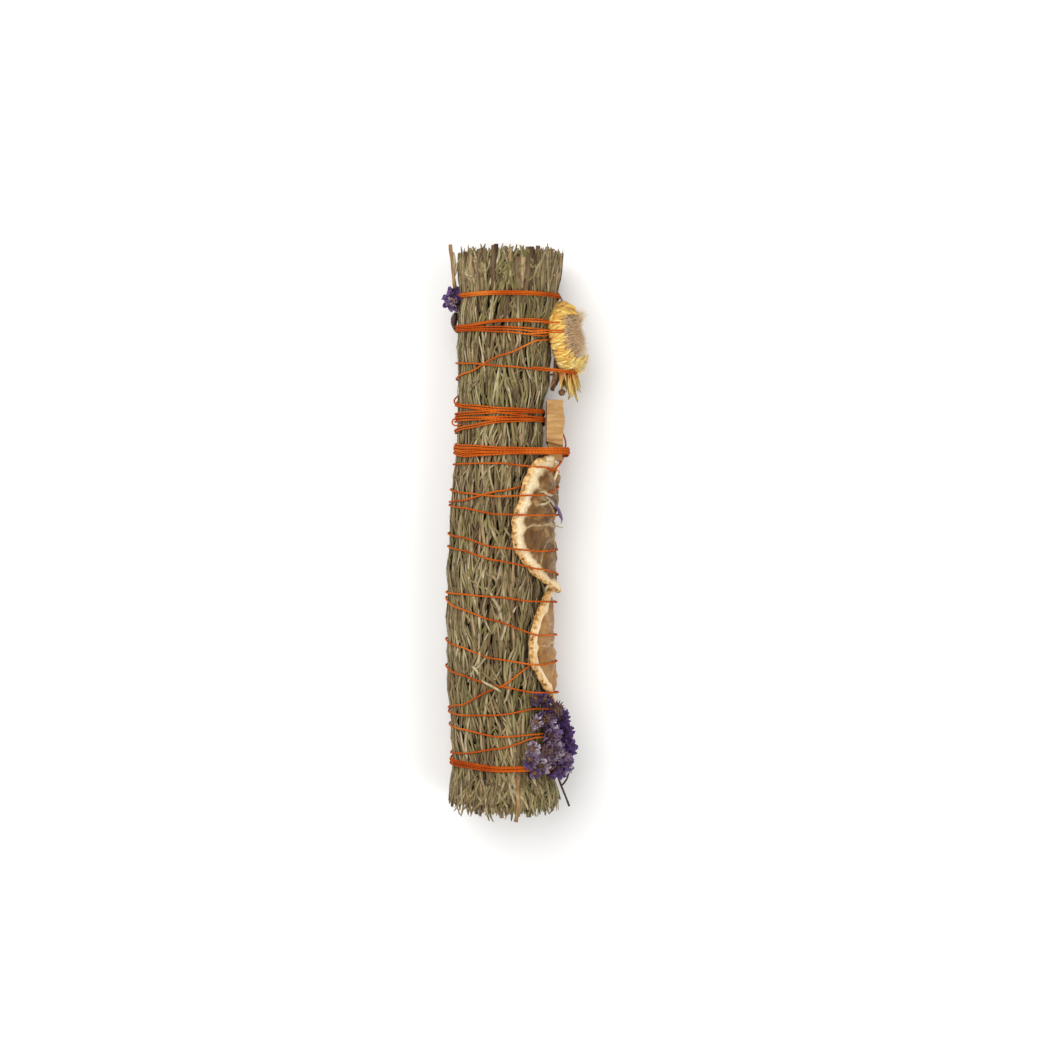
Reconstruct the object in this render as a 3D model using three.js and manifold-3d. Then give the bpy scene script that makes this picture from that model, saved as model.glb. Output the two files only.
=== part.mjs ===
// Rosemary smudge stick with dried flowers, bound with orange thread.
// Millimetres, +Z up. The stick lies along Y on the plane z = 0 and carries its trimmings on the +X side.
// While it is built, x = 0 and y = 0 are near the bundle's middle. The whole is centred at the end.
import * as THREE from 'three';
import { mergeVertices } from 'three/addons/utils/BufferGeometryUtils.js';
import Module from 'manifold-3d';

const wasm = await Module();
wasm.setup();

// Driving dimensions of the bundle
const TOP_END = 112;
const BOTTOM_END = -111;
const AXIS_HEIGHT_TOP = 20.4;
const AXIS_HEIGHT_BOTTOM = 21.6;
const UNDERSIDE_PRESS = 0.05;
const FLARE_LENGTH = 8;
const TOP_BAND = 95;
const BOTTOM_BAND = -95;

// The bundle's waist line from end to end: [y, sideways centre, radius at the thread]
const STATIONS = [
  [118, 4.6, 21.0], [94, 3.4, 20.3], [82, 1.6, 19.2], [53, 1.5, 18.9],
  [33, 0.5, 18.5], [13, -0.7, 19.5], [-27, -1.8, 19.8], [-52, -1.8, 19.8],
  [-87, 0.2, 19.8], [-96, 0.8, 20.3], [-108, 2.0, 22.3], [-118, 2.2, 22.7],
];
const CENTRE = 1;
const RADIUS = 2;

// Gaps between pieces that touch
const GAP = 0.35;
const CLEANING = 0.02;
const THREAD_RADIUS = 0.42;
const HERB_BELOW_THREAD = 1.15;
const THREAD_CLEARANCE = 1.1;

// Rosemary
const SPRIG_COUNT = 12;
const SPRIG_INNER_RADIUS = 6.2;
const SPRIG_CORE_DEPTH = 2.0;
const SPRIG_REST_DEPTH = -0.5;
const SPRIG_UNEVENNESS = 0.45;
const SPRIG_SIDE_GAP = 0.17;
const NEEDLE_LENGTH = [13, 20];
const NEEDLE_HALF_WIDTH = 0.85;
const NEEDLE_TIP_SHARE = 0.45;
const NEEDLE_LEAN = 0.2;
const NEEDLES_PER_SPRIG = 18;
const END_NEEDLES_PER_SPRIG = 4;
const STEM_RADIUS = 1.25;
const HEART_RADIUS = 5.2;
const HEART_STEMS = 7;

// Citrus slices: centre angle in degrees, centre along the stick, radius, segments, how far the lower end
// lifts, and how short the half under the stick is
const UPPER_SLICE = { angle: 2, y: 2.6, radius: 26.4, segments: 9, lip: 2.9, below: 0.76 };
const LOWER_SLICE = { angle: -12, y: -44.8, radius: 23.6, segments: 8, lip: 0, below: 0.68 };
const SLICE_RISE = 1.3;
const PITH_THICKNESS = 2.2;
const FLESH_THICKNESS = 1.1;
const LIP_LENGTH = 9;

// Wood block
const BLOCK_INNER_X = 18.3;
const BLOCK_OUTER_X = 25.1;
const BLOCK_TOP_Y = 52.3;
const BLOCK_STEP_Y = 35;
const BLOCK_BOTTOM_Y = 29.7;
const BLOCK_HALF_DEPTH = 13;
const BLOCK_STEP_DROP = 3.4;
const PRESSED_X = 17.4;

// Strawflower: a half closed bowl of bracts, whose own axis leans to the camera and to the upper end
const FLOWER_Y = 76.3;
const FLOWER_BASE_RISE = 2.8;
const FLOWER_TILT = 0.4;
const FLOWER_TURN = 0.2;
const FLOWER_SQUEEZE = [0.8, 1.12, 1];
const BRACT_RINGS = [
  { count: 12, length: 11.6, rootRadius: 10.6, lift: 0.5 },
  { count: 10, length: 13.0, rootRadius: 9.6, lift: 1.4 },
];
const BULGE = [0.36, 0.36];
const BRACT_TIP = [0.1, 0.8];
const NEAR_SIDE_SHORTER = 0.32;
const FAR_SIDE_SHORTER = 0.5;
const ENDS_SHORTER = 0.15;
const TASSEL = [[-6, 3.8, 8], [0, 6.0, 10.5], [7, 8.0, 11.5], [13, 9.4, 10.5]];
const FLUFF_RADIUS = 8.8;
const FLUFF_TUFTS = 24;

// Statice spray
const FLORET_LOBES = 4;
const STATICE_STEM_ANGLE = 24;
const STATICE_HEADS = [
  { y: -74.0, angle: 22, size: [4.6, 4.2, 9.5], rise: 3.0, florets: 5, reach: 4.8 },
  { y: -86.2, angle: 24, size: [4.8, 4.6, 14], rise: 2.8, florets: 7, reach: 5.0 },
  { y: -96.8, angle: 30, size: [4.2, 2.6, 11], rise: 2.8, florets: 3, reach: 4.2 },
];

// One random number source for every draw, so that the same stick comes out each time
function seededRandom(seed) {
  let state = seed >>> 0;
  return () => {
    state = (state + 0x6d2b79f5) >>> 0;
    let mixed = Math.imul(state ^ (state >>> 15), state | 1);
    mixed ^= mixed + Math.imul(mixed ^ (mixed >>> 7), mixed | 61);
    return ((mixed ^ (mixed >>> 14)) >>> 0) / 4294967296;
  };
}

const radians = THREE.MathUtils.degToRad;
const lerp = THREE.MathUtils.lerp;
const smooth = THREE.MathUtils.smoothstep;

function between(random, low, high) {
  return lerp(low, high, random());
}

// The bundle's surface
function station(y, column) {
  const next = STATIONS.findIndex((row) => row[0] <= y);
  if (next === 0) return STATIONS[0][column];
  if (next < 0) return STATIONS.at(-1)[column];
  const upper = STATIONS[next - 1];
  const lower = STATIONS[next];
  return lerp(lower[column], upper[column], (y - lower[0]) / (upper[0] - lower[0]));
}

function axisHeight(y) {
  return lerp(AXIS_HEIGHT_BOTTOM, AXIS_HEIGHT_TOP, (y - BOTTOM_END) / (TOP_END - BOTTOM_END));
}

// How far from both ends a place is: 1 between the end bands, 0 in the flares
function inMiddle(y) {
  const fromTop = 1 - smooth(y, TOP_BAND, TOP_BAND + FLARE_LENGTH);
  return fromTop * smooth(y, BOTTOM_BAND - FLARE_LENGTH, BOTTOM_BAND);
}

// Distance from the axis to the thread's level, at an angle in radians (0 is +X, a quarter turn is +Z)
function threadLevel(angle, y) {
  const underside = Math.max(0, -Math.sin(angle));
  let radius = station(y, RADIUS) * (1 - UNDERSIDE_PRESS * underside * underside * inMiddle(y));
  const abovePressed = smooth(y, BLOCK_TOP_Y, BLOCK_TOP_Y + 8);
  const pressed = smooth(y, BLOCK_BOTTOM_Y - 8, BLOCK_BOTTOM_Y) * (1 - abovePressed);
  const sideways = Math.cos(angle);
  if (pressed > 0 && sideways > 0.5) {
    const flat = (PRESSED_X - station(y, CENTRE)) / sideways;
    radius = lerp(radius, Math.min(radius, flat), pressed);
  }
  return radius;
}

// A point at a distance from the axis
function atRadius(angle, y, radius) {
  return new THREE.Vector3(
    station(y, CENTRE) + radius * Math.cos(angle),
    y,
    axisHeight(y) + radius * Math.sin(angle),
  );
}

// A point at a height above the thread's level
function onStick(angle, y, rise) {
  return atRadius(angle, y, threadLevel(angle, y) + rise);
}

// Points on the stick, each given as [angle in degrees, y, rise]
function route(places) {
  return places.map(([angle, y, rise]) => onStick(radians(angle), y, rise));
}

// Solids and meshes
function toSolid(geometry) {
  const bare = geometry.index ? geometry.toNonIndexed() : geometry.clone();
  for (const name of Object.keys(bare.attributes)) {
    if (name !== 'position') bare.deleteAttribute(name);
  }
  const merged = mergeVertices(bare, 1e-3);
  const corners = merged.index.array;
  const kept = [];
  for (let i = 0; i < corners.length; i += 3) {
    const [a, b, c] = corners.slice(i, i + 3);
    if (a !== b && b !== c && c !== a) kept.push(a, b, c);
  }
  const build = (triangles) => new wasm.Manifold(new wasm.Mesh({
    numProp: 3,
    vertProperties: new Float32Array(merged.attributes.position.array),
    triVerts: new Uint32Array(triangles),
  }));
  const solid = build(kept);
  return solid.volume() > 0 ? solid : build(kept.reverse());
}

// The largest body of a solid, with scraps left out and needless small faces cleaned away
function largestBody(solid) {
  const bodies = solid.simplify(CLEANING).decompose();
  return bodies.reduce((best, body) => (body.volume() > best.volume() ? body : best));
}

function toMesh(solid, name, look) {
  const { vertProperties, triVerts, numProp } = solid.getMesh();
  const positions = new Float32Array((vertProperties.length / numProp) * 3);
  for (let i = 0; i < positions.length / 3; i += 1) {
    positions.set(vertProperties.subarray(i * numProp, i * numProp + 3), i * 3);
  }
  const geometry = new THREE.BufferGeometry();
  geometry.setAttribute('position', new THREE.BufferAttribute(positions, 3));
  geometry.setIndex(new THREE.BufferAttribute(new Uint32Array(triVerts), 1));
  geometry.computeVertexNormals();
  const mesh = new THREE.Mesh(geometry, new THREE.MeshStandardMaterial({ metalness: 0, ...look }));
  mesh.name = name;
  return mesh;
}

// Moves every corner of a geometry with place(corner), where corner is a Vector3
function reshape(geometry, place) {
  const position = geometry.attributes.position;
  const corner = new THREE.Vector3();
  for (let i = 0; i < position.count; i += 1) {
    corner.fromBufferAttribute(position, i);
    const moved = place(corner);
    position.setXYZ(i, moved.x, moved.y, moved.z);
  }
  return geometry;
}

function box(width, length, height, x, y, z) {
  return toSolid(new THREE.BoxGeometry(width, length, height).translate(x, y, z));
}

// Everything below the surface that the stick lies on
const belowFloor = box(200, 400, 60, 0, 0, -30);

// A three-sided needle from root to tip, with its flat side against the bundle
function needle(root, tip, halfWidth, tipShare = NEEDLE_TIP_SHARE) {
  const spike = new THREE.CylinderGeometry(tipShare, 1, 1, 3, 1);
  const along = new THREE.Vector3().subVectors(tip, root).normalize();
  const outward = new THREE.Vector3(tip.x - station(tip.y, CENTRE), 0, tip.z - axisHeight(tip.y)).normalize();
  const across = new THREE.Vector3().crossVectors(along, outward).normalize();
  const up = new THREE.Vector3().crossVectors(across, along);
  return toSolid(reshape(spike, (corner) => {
    const end = corner.y > 0 ? tip : root;
    return end.clone()
      .addScaledVector(across, corner.x * halfWidth)
      .addScaledVector(up, corner.z * halfWidth * 0.85);
  }));
}

// A straight or bent stem
function stem(points, radius, sides = 5) {
  const outline = new THREE.Shape();
  for (let i = 0; i < sides; i += 1) {
    const angle = (i / sides) * Math.PI * 2;
    if (i === 0) outline.moveTo(radius * Math.cos(angle), radius * Math.sin(angle));
    else outline.lineTo(radius * Math.cos(angle), radius * Math.sin(angle));
  }
  outline.closePath();
  const isBent = points.length > 2;
  const path = isBent ? new THREE.CatmullRomCurve3(points) : new THREE.LineCurve3(...points);
  const steps = isBent ? points.length * 2 - 3 : 1;
  return toSolid(new THREE.ExtrudeGeometry(outline, { steps, extrudePath: path, bevelEnabled: false }));
}

// Rosemary: each outer sprig keeps to its own share of the bundle's round, between two slightly wavy borders
function sprigBorder(index, y) {
  const share = (Math.PI * 2) / SPRIG_COUNT;
  const wave = 0.055 * Math.sin(y / 31 + (index % SPRIG_COUNT) * 2.3);
  return -Math.PI / 2 - share / 2 + index * share + wave * inMiddle(y);
}

function herbLevel(angle, y) {
  const flare = 1 - inMiddle(y);
  return threadLevel(angle, y) - HERB_BELOW_THREAD * (1 - flare);
}

// The packed core of a sprig: an uneven wedge between its two borders, narrower towards the heart. A rib is
// given by its share of the wedge's width and of its depth. The lowest sprig's core fills its flared ends,
// which are pressed flat where the stick lies on them.
const CORE_RIBS = [[0.0, 0.05], [0.02, 0.85], [0.3, 1.0], [0.7, 1.0], [0.98, 0.85], [1.0, 0.05]];
const REST_RIBS = [[0.0, 0.05], [0.02, 0.93], [0.12, 1.0], [0.88, 1.0], [0.98, 0.93], [1.0, 0.05]];
const CORE_ROWS = [-103, -95, -58, -20, 18, 56, 95, 103];

function sprigCore(index, lowest, highest) {
  const places = [lowest, ...CORE_ROWS, highest];
  const rows = places.length - 1;
  const isLowest = index === 0;
  const ribs = isLowest ? REST_RIBS : CORE_RIBS;
  const wedge = new THREE.CylinderGeometry(1, 1, 1, ribs.length, rows);
  return toSolid(reshape(wedge, (corner) => {
    const y = places[Math.round((corner.y + 0.5) * rows)];
    const isAxis = Math.hypot(corner.x, corner.z) < 0.5;
    const turn = (Math.atan2(corner.x, corner.z) / (Math.PI * 2) + 1) % 1;
    const number = Math.round(turn * ribs.length) % ribs.length;
    const rib = isAxis ? [0.5, 0.5] : ribs[number];
    const left = sprigBorder(index, y);
    const right = sprigBorder(index + 1, y);
    const depth = isLowest ? lerp(SPRIG_REST_DEPTH, SPRIG_CORE_DEPTH, inMiddle(y)) : SPRIG_CORE_DEPTH;
    const uneven = SPRIG_UNEVENNESS * inMiddle(y) * Math.sin(y * 0.9 + number * 2.6 + index * 1.7);
    const outer = herbLevel((left + right) / 2, y) - depth + uneven;
    const radius = lerp(SPRIG_INNER_RADIUS, outer, rib[1]);
    const margin = SPRIG_SIDE_GAP / radius;
    return atRadius(lerp(left + margin, right - margin, rib[0]), y, radius);
  }));
}

// A needle of a sprig, kept between the sprig's borders
function sprigNeedle(index, random, column, startY, direction, level, length) {
  const lean = between(random, -0.08, 0.08) + (column - 1) * NEEDLE_LEAN;
  const start = 0.5 + (column - 1) * 0.2 + between(random, -0.06, 0.06);
  const depths = [2.7, 0.35];
  const [root, tip] = depths.map((depth, part) => {
    const y = startY + direction * length * part * Math.cos(lean);
    const left = sprigBorder(index, y);
    const right = sprigBorder(index + 1, y);
    const radius = level(y) - depth;
    const shift = (length * part * Math.sin(lean)) / radius;
    const width = NEEDLE_HALF_WIDTH * (part ? NEEDLE_TIP_SHARE : 1);
    const margin = (width + SPRIG_SIDE_GAP + 0.1) / radius;
    const angle = THREE.MathUtils.clamp(lerp(left, right, start) + shift, left + margin, right - margin);
    return atRadius(angle, y, Math.min(radius, herbLevel(angle, y) - depth));
  });
  return needle(root, tip, NEEDLE_HALF_WIDTH * between(random, 0.8, 1));
}

function rosemarySprig(index) {
  const random = seededRandom(100 + index);
  const top = TOP_END - between(random, 5, 7);
  const bottom = BOTTOM_END + between(random, 4, 7);
  const parts = [sprigCore(index, bottom, top)];
  const grows = random() < 0.45 ? 1 : -1;
  const centreAngle = (sprigBorder(index, 0) + sprigBorder(index + 1, 0)) / 2;
  const surface = (y) => herbLevel(centreAngle, y);

  for (let i = 0; i < NEEDLES_PER_SPRIG; i += 1) {
    const length = between(random, ...NEEDLE_LENGTH);
    const direction = random() < 0.85 ? grows : -grows;
    const reach = direction > 0 ? TOP_END - 1 - length : BOTTOM_END + 1 + length;
    const spaced = lerp(bottom + 3, top - 3, (i + random()) / NEEDLES_PER_SPRIG);
    const startY = direction > 0 ? Math.min(spaced, reach) : Math.max(spaced, reach);
    parts.push(sprigNeedle(index, random, i % 3, startY, direction, surface, length));
  }

  // Needles and a cut stem that stick out of both ends, at all depths
  for (const direction of [1, -1]) {
    const end = direction > 0 ? TOP_END : BOTTOM_END;
    for (let i = 0; i < END_NEEDLES_PER_SPRIG; i += 1) {
      const depth = lerp(0, 9, i / END_NEEDLES_PER_SPRIG);
      const length = between(random, 13, 16);
      const tipY = end + direction * between(random, -2, 2.5);
      const startY = tipY - direction * length;
      parts.push(sprigNeedle(index, random, i % 3, startY, direction, (y) => surface(y) - depth, length));
    }
    const stemAngle = centreAngle + between(random, -0.06, 0.06);
    const stemRadius = between(random, 9.5, 14);
    const from = atRadius(stemAngle, end - direction * 12, stemRadius);
    const to = atRadius(stemAngle, end + direction * between(random, -2.5, 1.2), stemRadius + 0.4);
    parts.push(stem([from, to], STEM_RADIUS * between(random, 0.8, 1.1)));
  }

  return largestBody(wasm.Manifold.union(parts).subtract(belowFloor));
}

// The bare stems in the heart of the bundle: packed along its length, single at the cut ends
function heartStems() {
  const random = seededRandom(7);
  const packed = new THREE.CylinderGeometry(1, 1, 1, HEART_STEMS, 10);
  const parts = [toSolid(reshape(packed, (corner) => {
    const y = lerp(BOTTOM_END + 9, TOP_END - 9, corner.y + 0.5);
    return atRadius(Math.atan2(corner.z, corner.x), y, Math.hypot(corner.x, corner.z) * HEART_RADIUS);
  }))];
  for (const direction of [1, -1]) {
    const end = direction > 0 ? TOP_END : BOTTOM_END;
    for (let i = 0; i < HEART_STEMS; i += 1) {
      const angle = ((i + 0.5) / HEART_STEMS) * Math.PI * 2;
      const from = atRadius(angle, end - direction * 12, HEART_RADIUS * 0.6);
      const to = atRadius(angle, end - direction * between(random, -1, 4), HEART_RADIUS * 0.68);
      parts.push(stem([from, to], STEM_RADIUS));
    }
  }
  return largestBody(wasm.Manifold.union(parts));
}

// The orange thread. Each turn climbs the left side, crosses the top from left to right and goes back
// underneath. A row gives its place along the stick at five angles: left, upper left, top, upper right
// and right.
const TURN_ANGLES = [180, 135, 90, 45, 0];
const THREAD_TURNS = [
  { y: [94.6, 94.2, 94.2, 94.2, 94.6] },
  { y: [93.5, 93.1, 93.1, 93.1, 93.5] },
  { y: [82.2, 81.6, 83.2, 83.8, 83.2] },
  { y: [81.2, 80.6, 80.4, 80.0, 80.2] },
  { y: [80.2, 79.4, 78.4, 77.4, 78.6] },
  { y: [67.5, 66.5, 65.0, 64.0, 64.0], over: ['petals'] },
  { y: [61.0, 63.0, 69.5, 75.5, 77.2] },
  { y: [51.5, 50.0, 48.6, 48.2, 48.2] },
  { y: [46.2, 46.4, 46.8, 47.0, 47.0] },
  { y: [45.0, 45.1, 45.2, 45.4, 45.6] },
  { y: [39.5, 41.0, 43.2, 43.8, 44.2] },
  { y: [35.0, 34.2, 33.2, 33.0, 33.4], over: ['block'] },
  { y: [33.9, 32.8, 32.1, 32.0, 32.4], over: ['block'] },
  { y: [32.6, 30.4, 30.6, 30.9, 31.0], over: ['block'] },
  { y: [27.0, 27.0, 27.0, 25.5, 24.0], over: ['upper'] },
  { y: [17.0, 15.5, 14.0, 14.5, 18.0], over: ['upper'] },
  { y: [12.0, 12.5, 16.0, 19.0, 20.5] },
  { y: [10.8, 9.6, 7.0, 6.5, 7.0], over: ['upper'] },
  { y: [-0.5, -2.0, -6.0, -7.5, -7.0], over: ['upper'] },
  { y: [-5.5, -7.0, -11.0, -14.5, -17.0], over: ['upper'] },
  { y: [-24.0, -24.3, -25.3, -27.2, -28.0], over: ['lower'] },
  { y: [-26.0, -30.0, -34.5, -40.5, -41.0], over: ['lower'] },
  { y: [-42.5, -45.0, -49.5, -52.0, -51.5], over: ['lower'] },
  { y: [-53.0, -56.0, -60.0, -63.0, -64.0], over: ['lower'] },
  { y: [-70.0, -68.0, -61.0, -52.5, -50.0] },
  { y: [-71.5, -72.0, -71.5, -69.5, -70.5], over: ['statice'] },
  { y: [-76.5, -77.5, -80.0, -79.5, -79.2], over: ['statice'] },
  { y: [-88.0, -87.0, -84.5, -80.8, -80.3], over: ['statice'] },
  { y: [-90.0, -90.4, -91.8, -92.0, -91.6], over: ['statice'] },
  { y: [-91.2, -91.6, -92.9, -93.1, -92.7], over: ['statice'] },
];
const PLAIN_STEPS = 15;
const RAISED_STEPS = 23;

// First and last turn of each span that doesn't cross itself. Each span runs a few degrees into the next one,
// and every other one is a little thinner.
const THREAD_SPANS = [[0, 5], [6, 11], [12, 15], [16, 23], [24, 29]];
const THREAD_OVERHANG = 1.5;
const THREAD_LAP = 0.93;

// Outer level of what a turn crosses besides the herbs, as a distance from the axis
const CROSSED = {
  upper: (angle, y) => sliceCover(UPPER_SLICE, angle, y),
  lower: (angle, y) => sliceCover(LOWER_SLICE, angle, y),
  block: blockCover,
  petals: petalCover,
  statice: staticeCover,
};

// How far past its edge a slice still holds the thread up
const COVER_MARGIN = 2.5;
const COVER_MARGIN_BELOW = 5;

function sliceCover(slice, angle, y) {
  const level = station(y, RADIUS) + SLICE_RISE;
  const u = angleFrom(slice.angle, angle) * level;
  const margin = u < 0 ? COVER_MARGIN_BELOW : COVER_MARGIN;
  const inside = Math.hypot(u < 0 ? u / slice.below : u, y - slice.y) < slice.radius + margin;
  return inside ? level + PITH_THICKNESS + sliceLip(slice, y) : 0;
}

function blockCover(angle, y) {
  const depth = BLOCK_HALF_DEPTH + 1.0 - (y < BLOCK_STEP_Y - 1.7 ? BLOCK_STEP_DROP : 0);
  const reach = BLOCK_OUTER_X + 1.0 - station(y, CENTRE);
  const corner = Math.atan2(depth, reach);
  return Math.abs(angleFrom(0, angle)) <= corner + radians(5) ? reach / Math.cos(angle) : 0;
}

function petalCover(angle) {
  return Math.abs(angleFrom(0, angle)) < radians(14) ? 27.5 : 0;
}

function staticeCover(angle, y) {
  const onStem = Math.abs(angleFrom(STATICE_STEM_ANGLE, angle)) < radians(5);
  return onStem ? threadLevel(angle, y) + 2.1 : 0;
}

// Signed difference between an angle in degrees and one in radians, in radians
function angleFrom(degrees, angle) {
  const difference = angle - radians(degrees);
  return Math.atan2(Math.sin(difference), Math.cos(difference));
}

// A turn pulled taut over what it crosses: the convex outline round the obstacles in its cross-section
function tautRadius(obstacles, angle) {
  let best = 0;
  const cos = Math.cos(angle);
  const sin = Math.sin(angle);
  for (let i = 0; i < obstacles.length; i += 1) {
    for (let j = i + 1; j < obstacles.length; j += 1) {
      const [a, b] = [obstacles[i], obstacles[j]];
      const sideA = a.x * sin - a.y * cos;
      const sideB = b.x * sin - b.y * cos;
      if (sideA * sideB > 0 || sideA === sideB) continue;
      const part = sideA / (sideA - sideB);
      best = Math.max(best, lerp(a.x, b.x, part) * cos + lerp(a.y, b.y, part) * sin);
    }
  }
  return best;
}

// The running angle goes on from turn to turn, in degrees. Each turn starts underneath, on the left.
function turnStart(number) {
  return 225 - 360 * number;
}

// Place along the stick of the whole thread, with its turns end to end, at a running angle
function threadKnots() {
  const knots = [];
  THREAD_TURNS.forEach((turn, n) => {
    TURN_ANGLES.forEach((angle, i) => knots.push([angle - 360 * n, turn.y[i]]));
  });
  return knots;
}
const KNOTS = threadKnots();

function threadY(running) {
  const next = KNOTS.findIndex((knot) => knot[0] <= running);
  if (next === 0) return KNOTS[0][1];
  if (next < 0) return KNOTS.at(-1)[1];
  const [start, end] = [KNOTS[next - 1], KNOTS[next]];
  return lerp(start[1], end[1], smooth(start[0] - running, 0, start[0] - end[0]) * 0.5
    + (0.5 * (start[0] - running)) / (start[0] - end[0]));
}

// What holds a turn off the herbs, as points in its cross-section
function turnObstacles(number) {
  const found = [];
  for (let degrees = 0; degrees < 360; degrees += 4) {
    const running = turnStart(number) - degrees;
    const angle = radians(running);
    const y = threadY(running);
    let radius = threadLevel(angle, y);
    for (const name of THREAD_TURNS[number].over) {
      const cover = CROSSED[name](angle, y);
      if (cover > 0) radius = Math.max(radius, cover + THREAD_CLEARANCE);
    }
    found.push(new THREE.Vector2(radius * Math.cos(angle), radius * Math.sin(angle)));
  }
  return found;
}

const TURN_OBSTACLES = THREAD_TURNS.map((turn, number) => (turn.over ? turnObstacles(number) : null));

function threadRadiusAt(running) {
  const angle = radians(running);
  const level = threadLevel(angle, threadY(running));
  const number = Math.floor((turnStart(0) - running) / 360);
  const obstacles = TURN_OBSTACLES[THREE.MathUtils.clamp(number, 0, THREAD_TURNS.length - 1)];
  return obstacles ? Math.max(level, tautRadius(obstacles, angle)) : level;
}

// A span of the thread: some turns in a row that don't cross one another
class ThreadSpan extends THREE.Curve {
  constructor(first, last) {
    super();
    this.stops = [turnStart(first) + THREAD_OVERHANG];
    for (let number = first; number <= last; number += 1) {
      const steps = THREAD_TURNS[number].over ? RAISED_STEPS : PLAIN_STEPS;
      for (let i = 1; i <= steps; i += 1) this.stops.push(turnStart(number) - (360 * i) / steps);
    }
    this.stops.push(this.stops.pop() - THREAD_OVERHANG);
  }

  getPoint(t) {
    const running = this.stops[Math.round(t * (this.stops.length - 1))];
    return atRadius(radians(running), threadY(running), threadRadiusAt(running));
  }

  getSpacedPoints(divisions) {
    return this.getPoints(divisions);
  }

  computeFrenetFrames() {
    const frames = { tangents: [], normals: [], binormals: [] };
    for (const running of this.stops) {
      const angle = radians(running);
      const outward = new THREE.Vector3(Math.cos(angle), 0, Math.sin(angle));
      const arc = radians(8) * station(threadY(running), RADIUS);
      const slope = (threadY(running - 4) - threadY(running + 4)) / arc;
      const tangent = new THREE.Vector3(Math.sin(angle), slope, -Math.cos(angle)).normalize();
      frames.tangents.push(tangent);
      frames.normals.push(outward);
      frames.binormals.push(new THREE.Vector3().crossVectors(tangent, outward));
    }
    return frames;
  }
}

function threadSpan(first, last, radius) {
  const corners = [[-0.8, -1], [1, 0], [-0.8, 1]].map(([u, v]) => new THREE.Vector2(u * radius, v * radius));
  const span = new ThreadSpan(first, last);
  const extrusion = { steps: span.stops.length - 1, extrudePath: span, bevelEnabled: false };
  return toSolid(new THREE.ExtrudeGeometry(new THREE.Shape(corners), extrusion));
}

function wholeThread(radius) {
  return wasm.Manifold.union(THREAD_SPANS.map(([first, last], i) => {
    return threadSpan(first, last, i % 2 ? radius * THREAD_LAP : radius);
  }));
}

// Citrus slices: a disc with a thick pith rim, thin flesh and raised membranes, bent round the stick
function sliceLip(slice, y) {
  return slice.lip * smooth(slice.y - y, slice.radius - LIP_LENGTH, slice.radius);
}

function citrusSlice(slice) {
  const around = slice.segments * 4;
  const steps = [[0, 0.4], [0.16, 1], [0.74, 0.25], [0.84, 0.8], [0.97, 1], [1, 0.7]];
  const thickness = (share) => lerp(FLESH_THICKNESS, PITH_THICKNESS, share);
  const profile = [new THREE.Vector2(0, 0), new THREE.Vector2(0.5, 0), new THREE.Vector2(1, 0)];
  for (const [share, height] of steps.toReversed()) profile.push(new THREE.Vector2(share, thickness(height)));
  const disc = new THREE.LatheGeometry(profile, around);
  return toSolid(reshape(disc, (corner) => {
    const share = Math.hypot(corner.x, corner.z);
    const turn = Math.atan2(corner.z, corner.x);
    const step = Math.round((turn / (Math.PI * 2)) * around);
    const isMembrane = ((step % 4) + 4) % 4 === 0;
    const inFlesh = share > 0.2 && share < 0.8 && corner.y > 0.2;
    const rise = inFlesh && isMembrane ? 0.7 : 0;
    const wave = 1 + 0.018 * Math.sin(turn * 5 + slice.segments);
    const shortened = Math.cos(turn) < 0 ? slice.below : 1;
    const u = share * slice.radius * wave * shortened * Math.cos(turn);
    const y = slice.y + share * slice.radius * wave * Math.sin(turn);
    const guess = radians(slice.angle) + u / (station(y, RADIUS) + SLICE_RISE);
    const level = station(y, RADIUS) + SLICE_RISE + sliceLip(slice, y);
    return atRadius(guess, y, level + corner.y + rise);
  }));
}

// Wood block: an offcut with a split lower end, its inner side against the bundle
function woodBlock() {
  const middle = axisHeight((BLOCK_TOP_Y + BLOCK_BOTTOM_Y) / 2);
  const plank = (corners, halfDepth) => {
    const outline = new THREE.Shape(corners.map(([x, y]) => new THREE.Vector2(x, y)));
    const solid = new THREE.ExtrudeGeometry(outline, { depth: halfDepth * 2, bevelEnabled: false });
    return toSolid(solid.translate(0, 0, middle - halfDepth));
  };
  const upper = plank([
    [BLOCK_INNER_X, BLOCK_TOP_Y], [BLOCK_INNER_X + 0.5, BLOCK_STEP_Y + 0.7],
    [BLOCK_OUTER_X, BLOCK_STEP_Y - 0.9], [BLOCK_OUTER_X, BLOCK_TOP_Y + 0.1],
  ], BLOCK_HALF_DEPTH);
  const tongue = plank([
    [BLOCK_INNER_X + 0.4, BLOCK_STEP_Y + 2], [BLOCK_INNER_X + 1.1, BLOCK_BOTTOM_Y],
    [BLOCK_OUTER_X - 0.2, BLOCK_BOTTOM_Y + 0.2], [BLOCK_OUTER_X - 0.1, BLOCK_STEP_Y + 2],
  ], BLOCK_HALF_DEPTH - BLOCK_STEP_DROP);
  return upper.add(tongue);
}

// Strawflower. Its own frame has the flower's axis along +Z and is turned to face +X, tipped to the camera.
const flowerBase = onStick(0, FLOWER_Y, FLOWER_BASE_RISE);
const flowerFrame = new THREE.Matrix4()
  .makeTranslation(flowerBase.x, flowerBase.y, flowerBase.z)
  .multiply(new THREE.Matrix4().makeRotationZ(FLOWER_TURN))
  .multiply(new THREE.Matrix4().makeRotationY(Math.PI / 2 - FLOWER_TILT))
  .multiply(new THREE.Matrix4().makeScale(...FLOWER_SQUEEZE));

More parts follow.
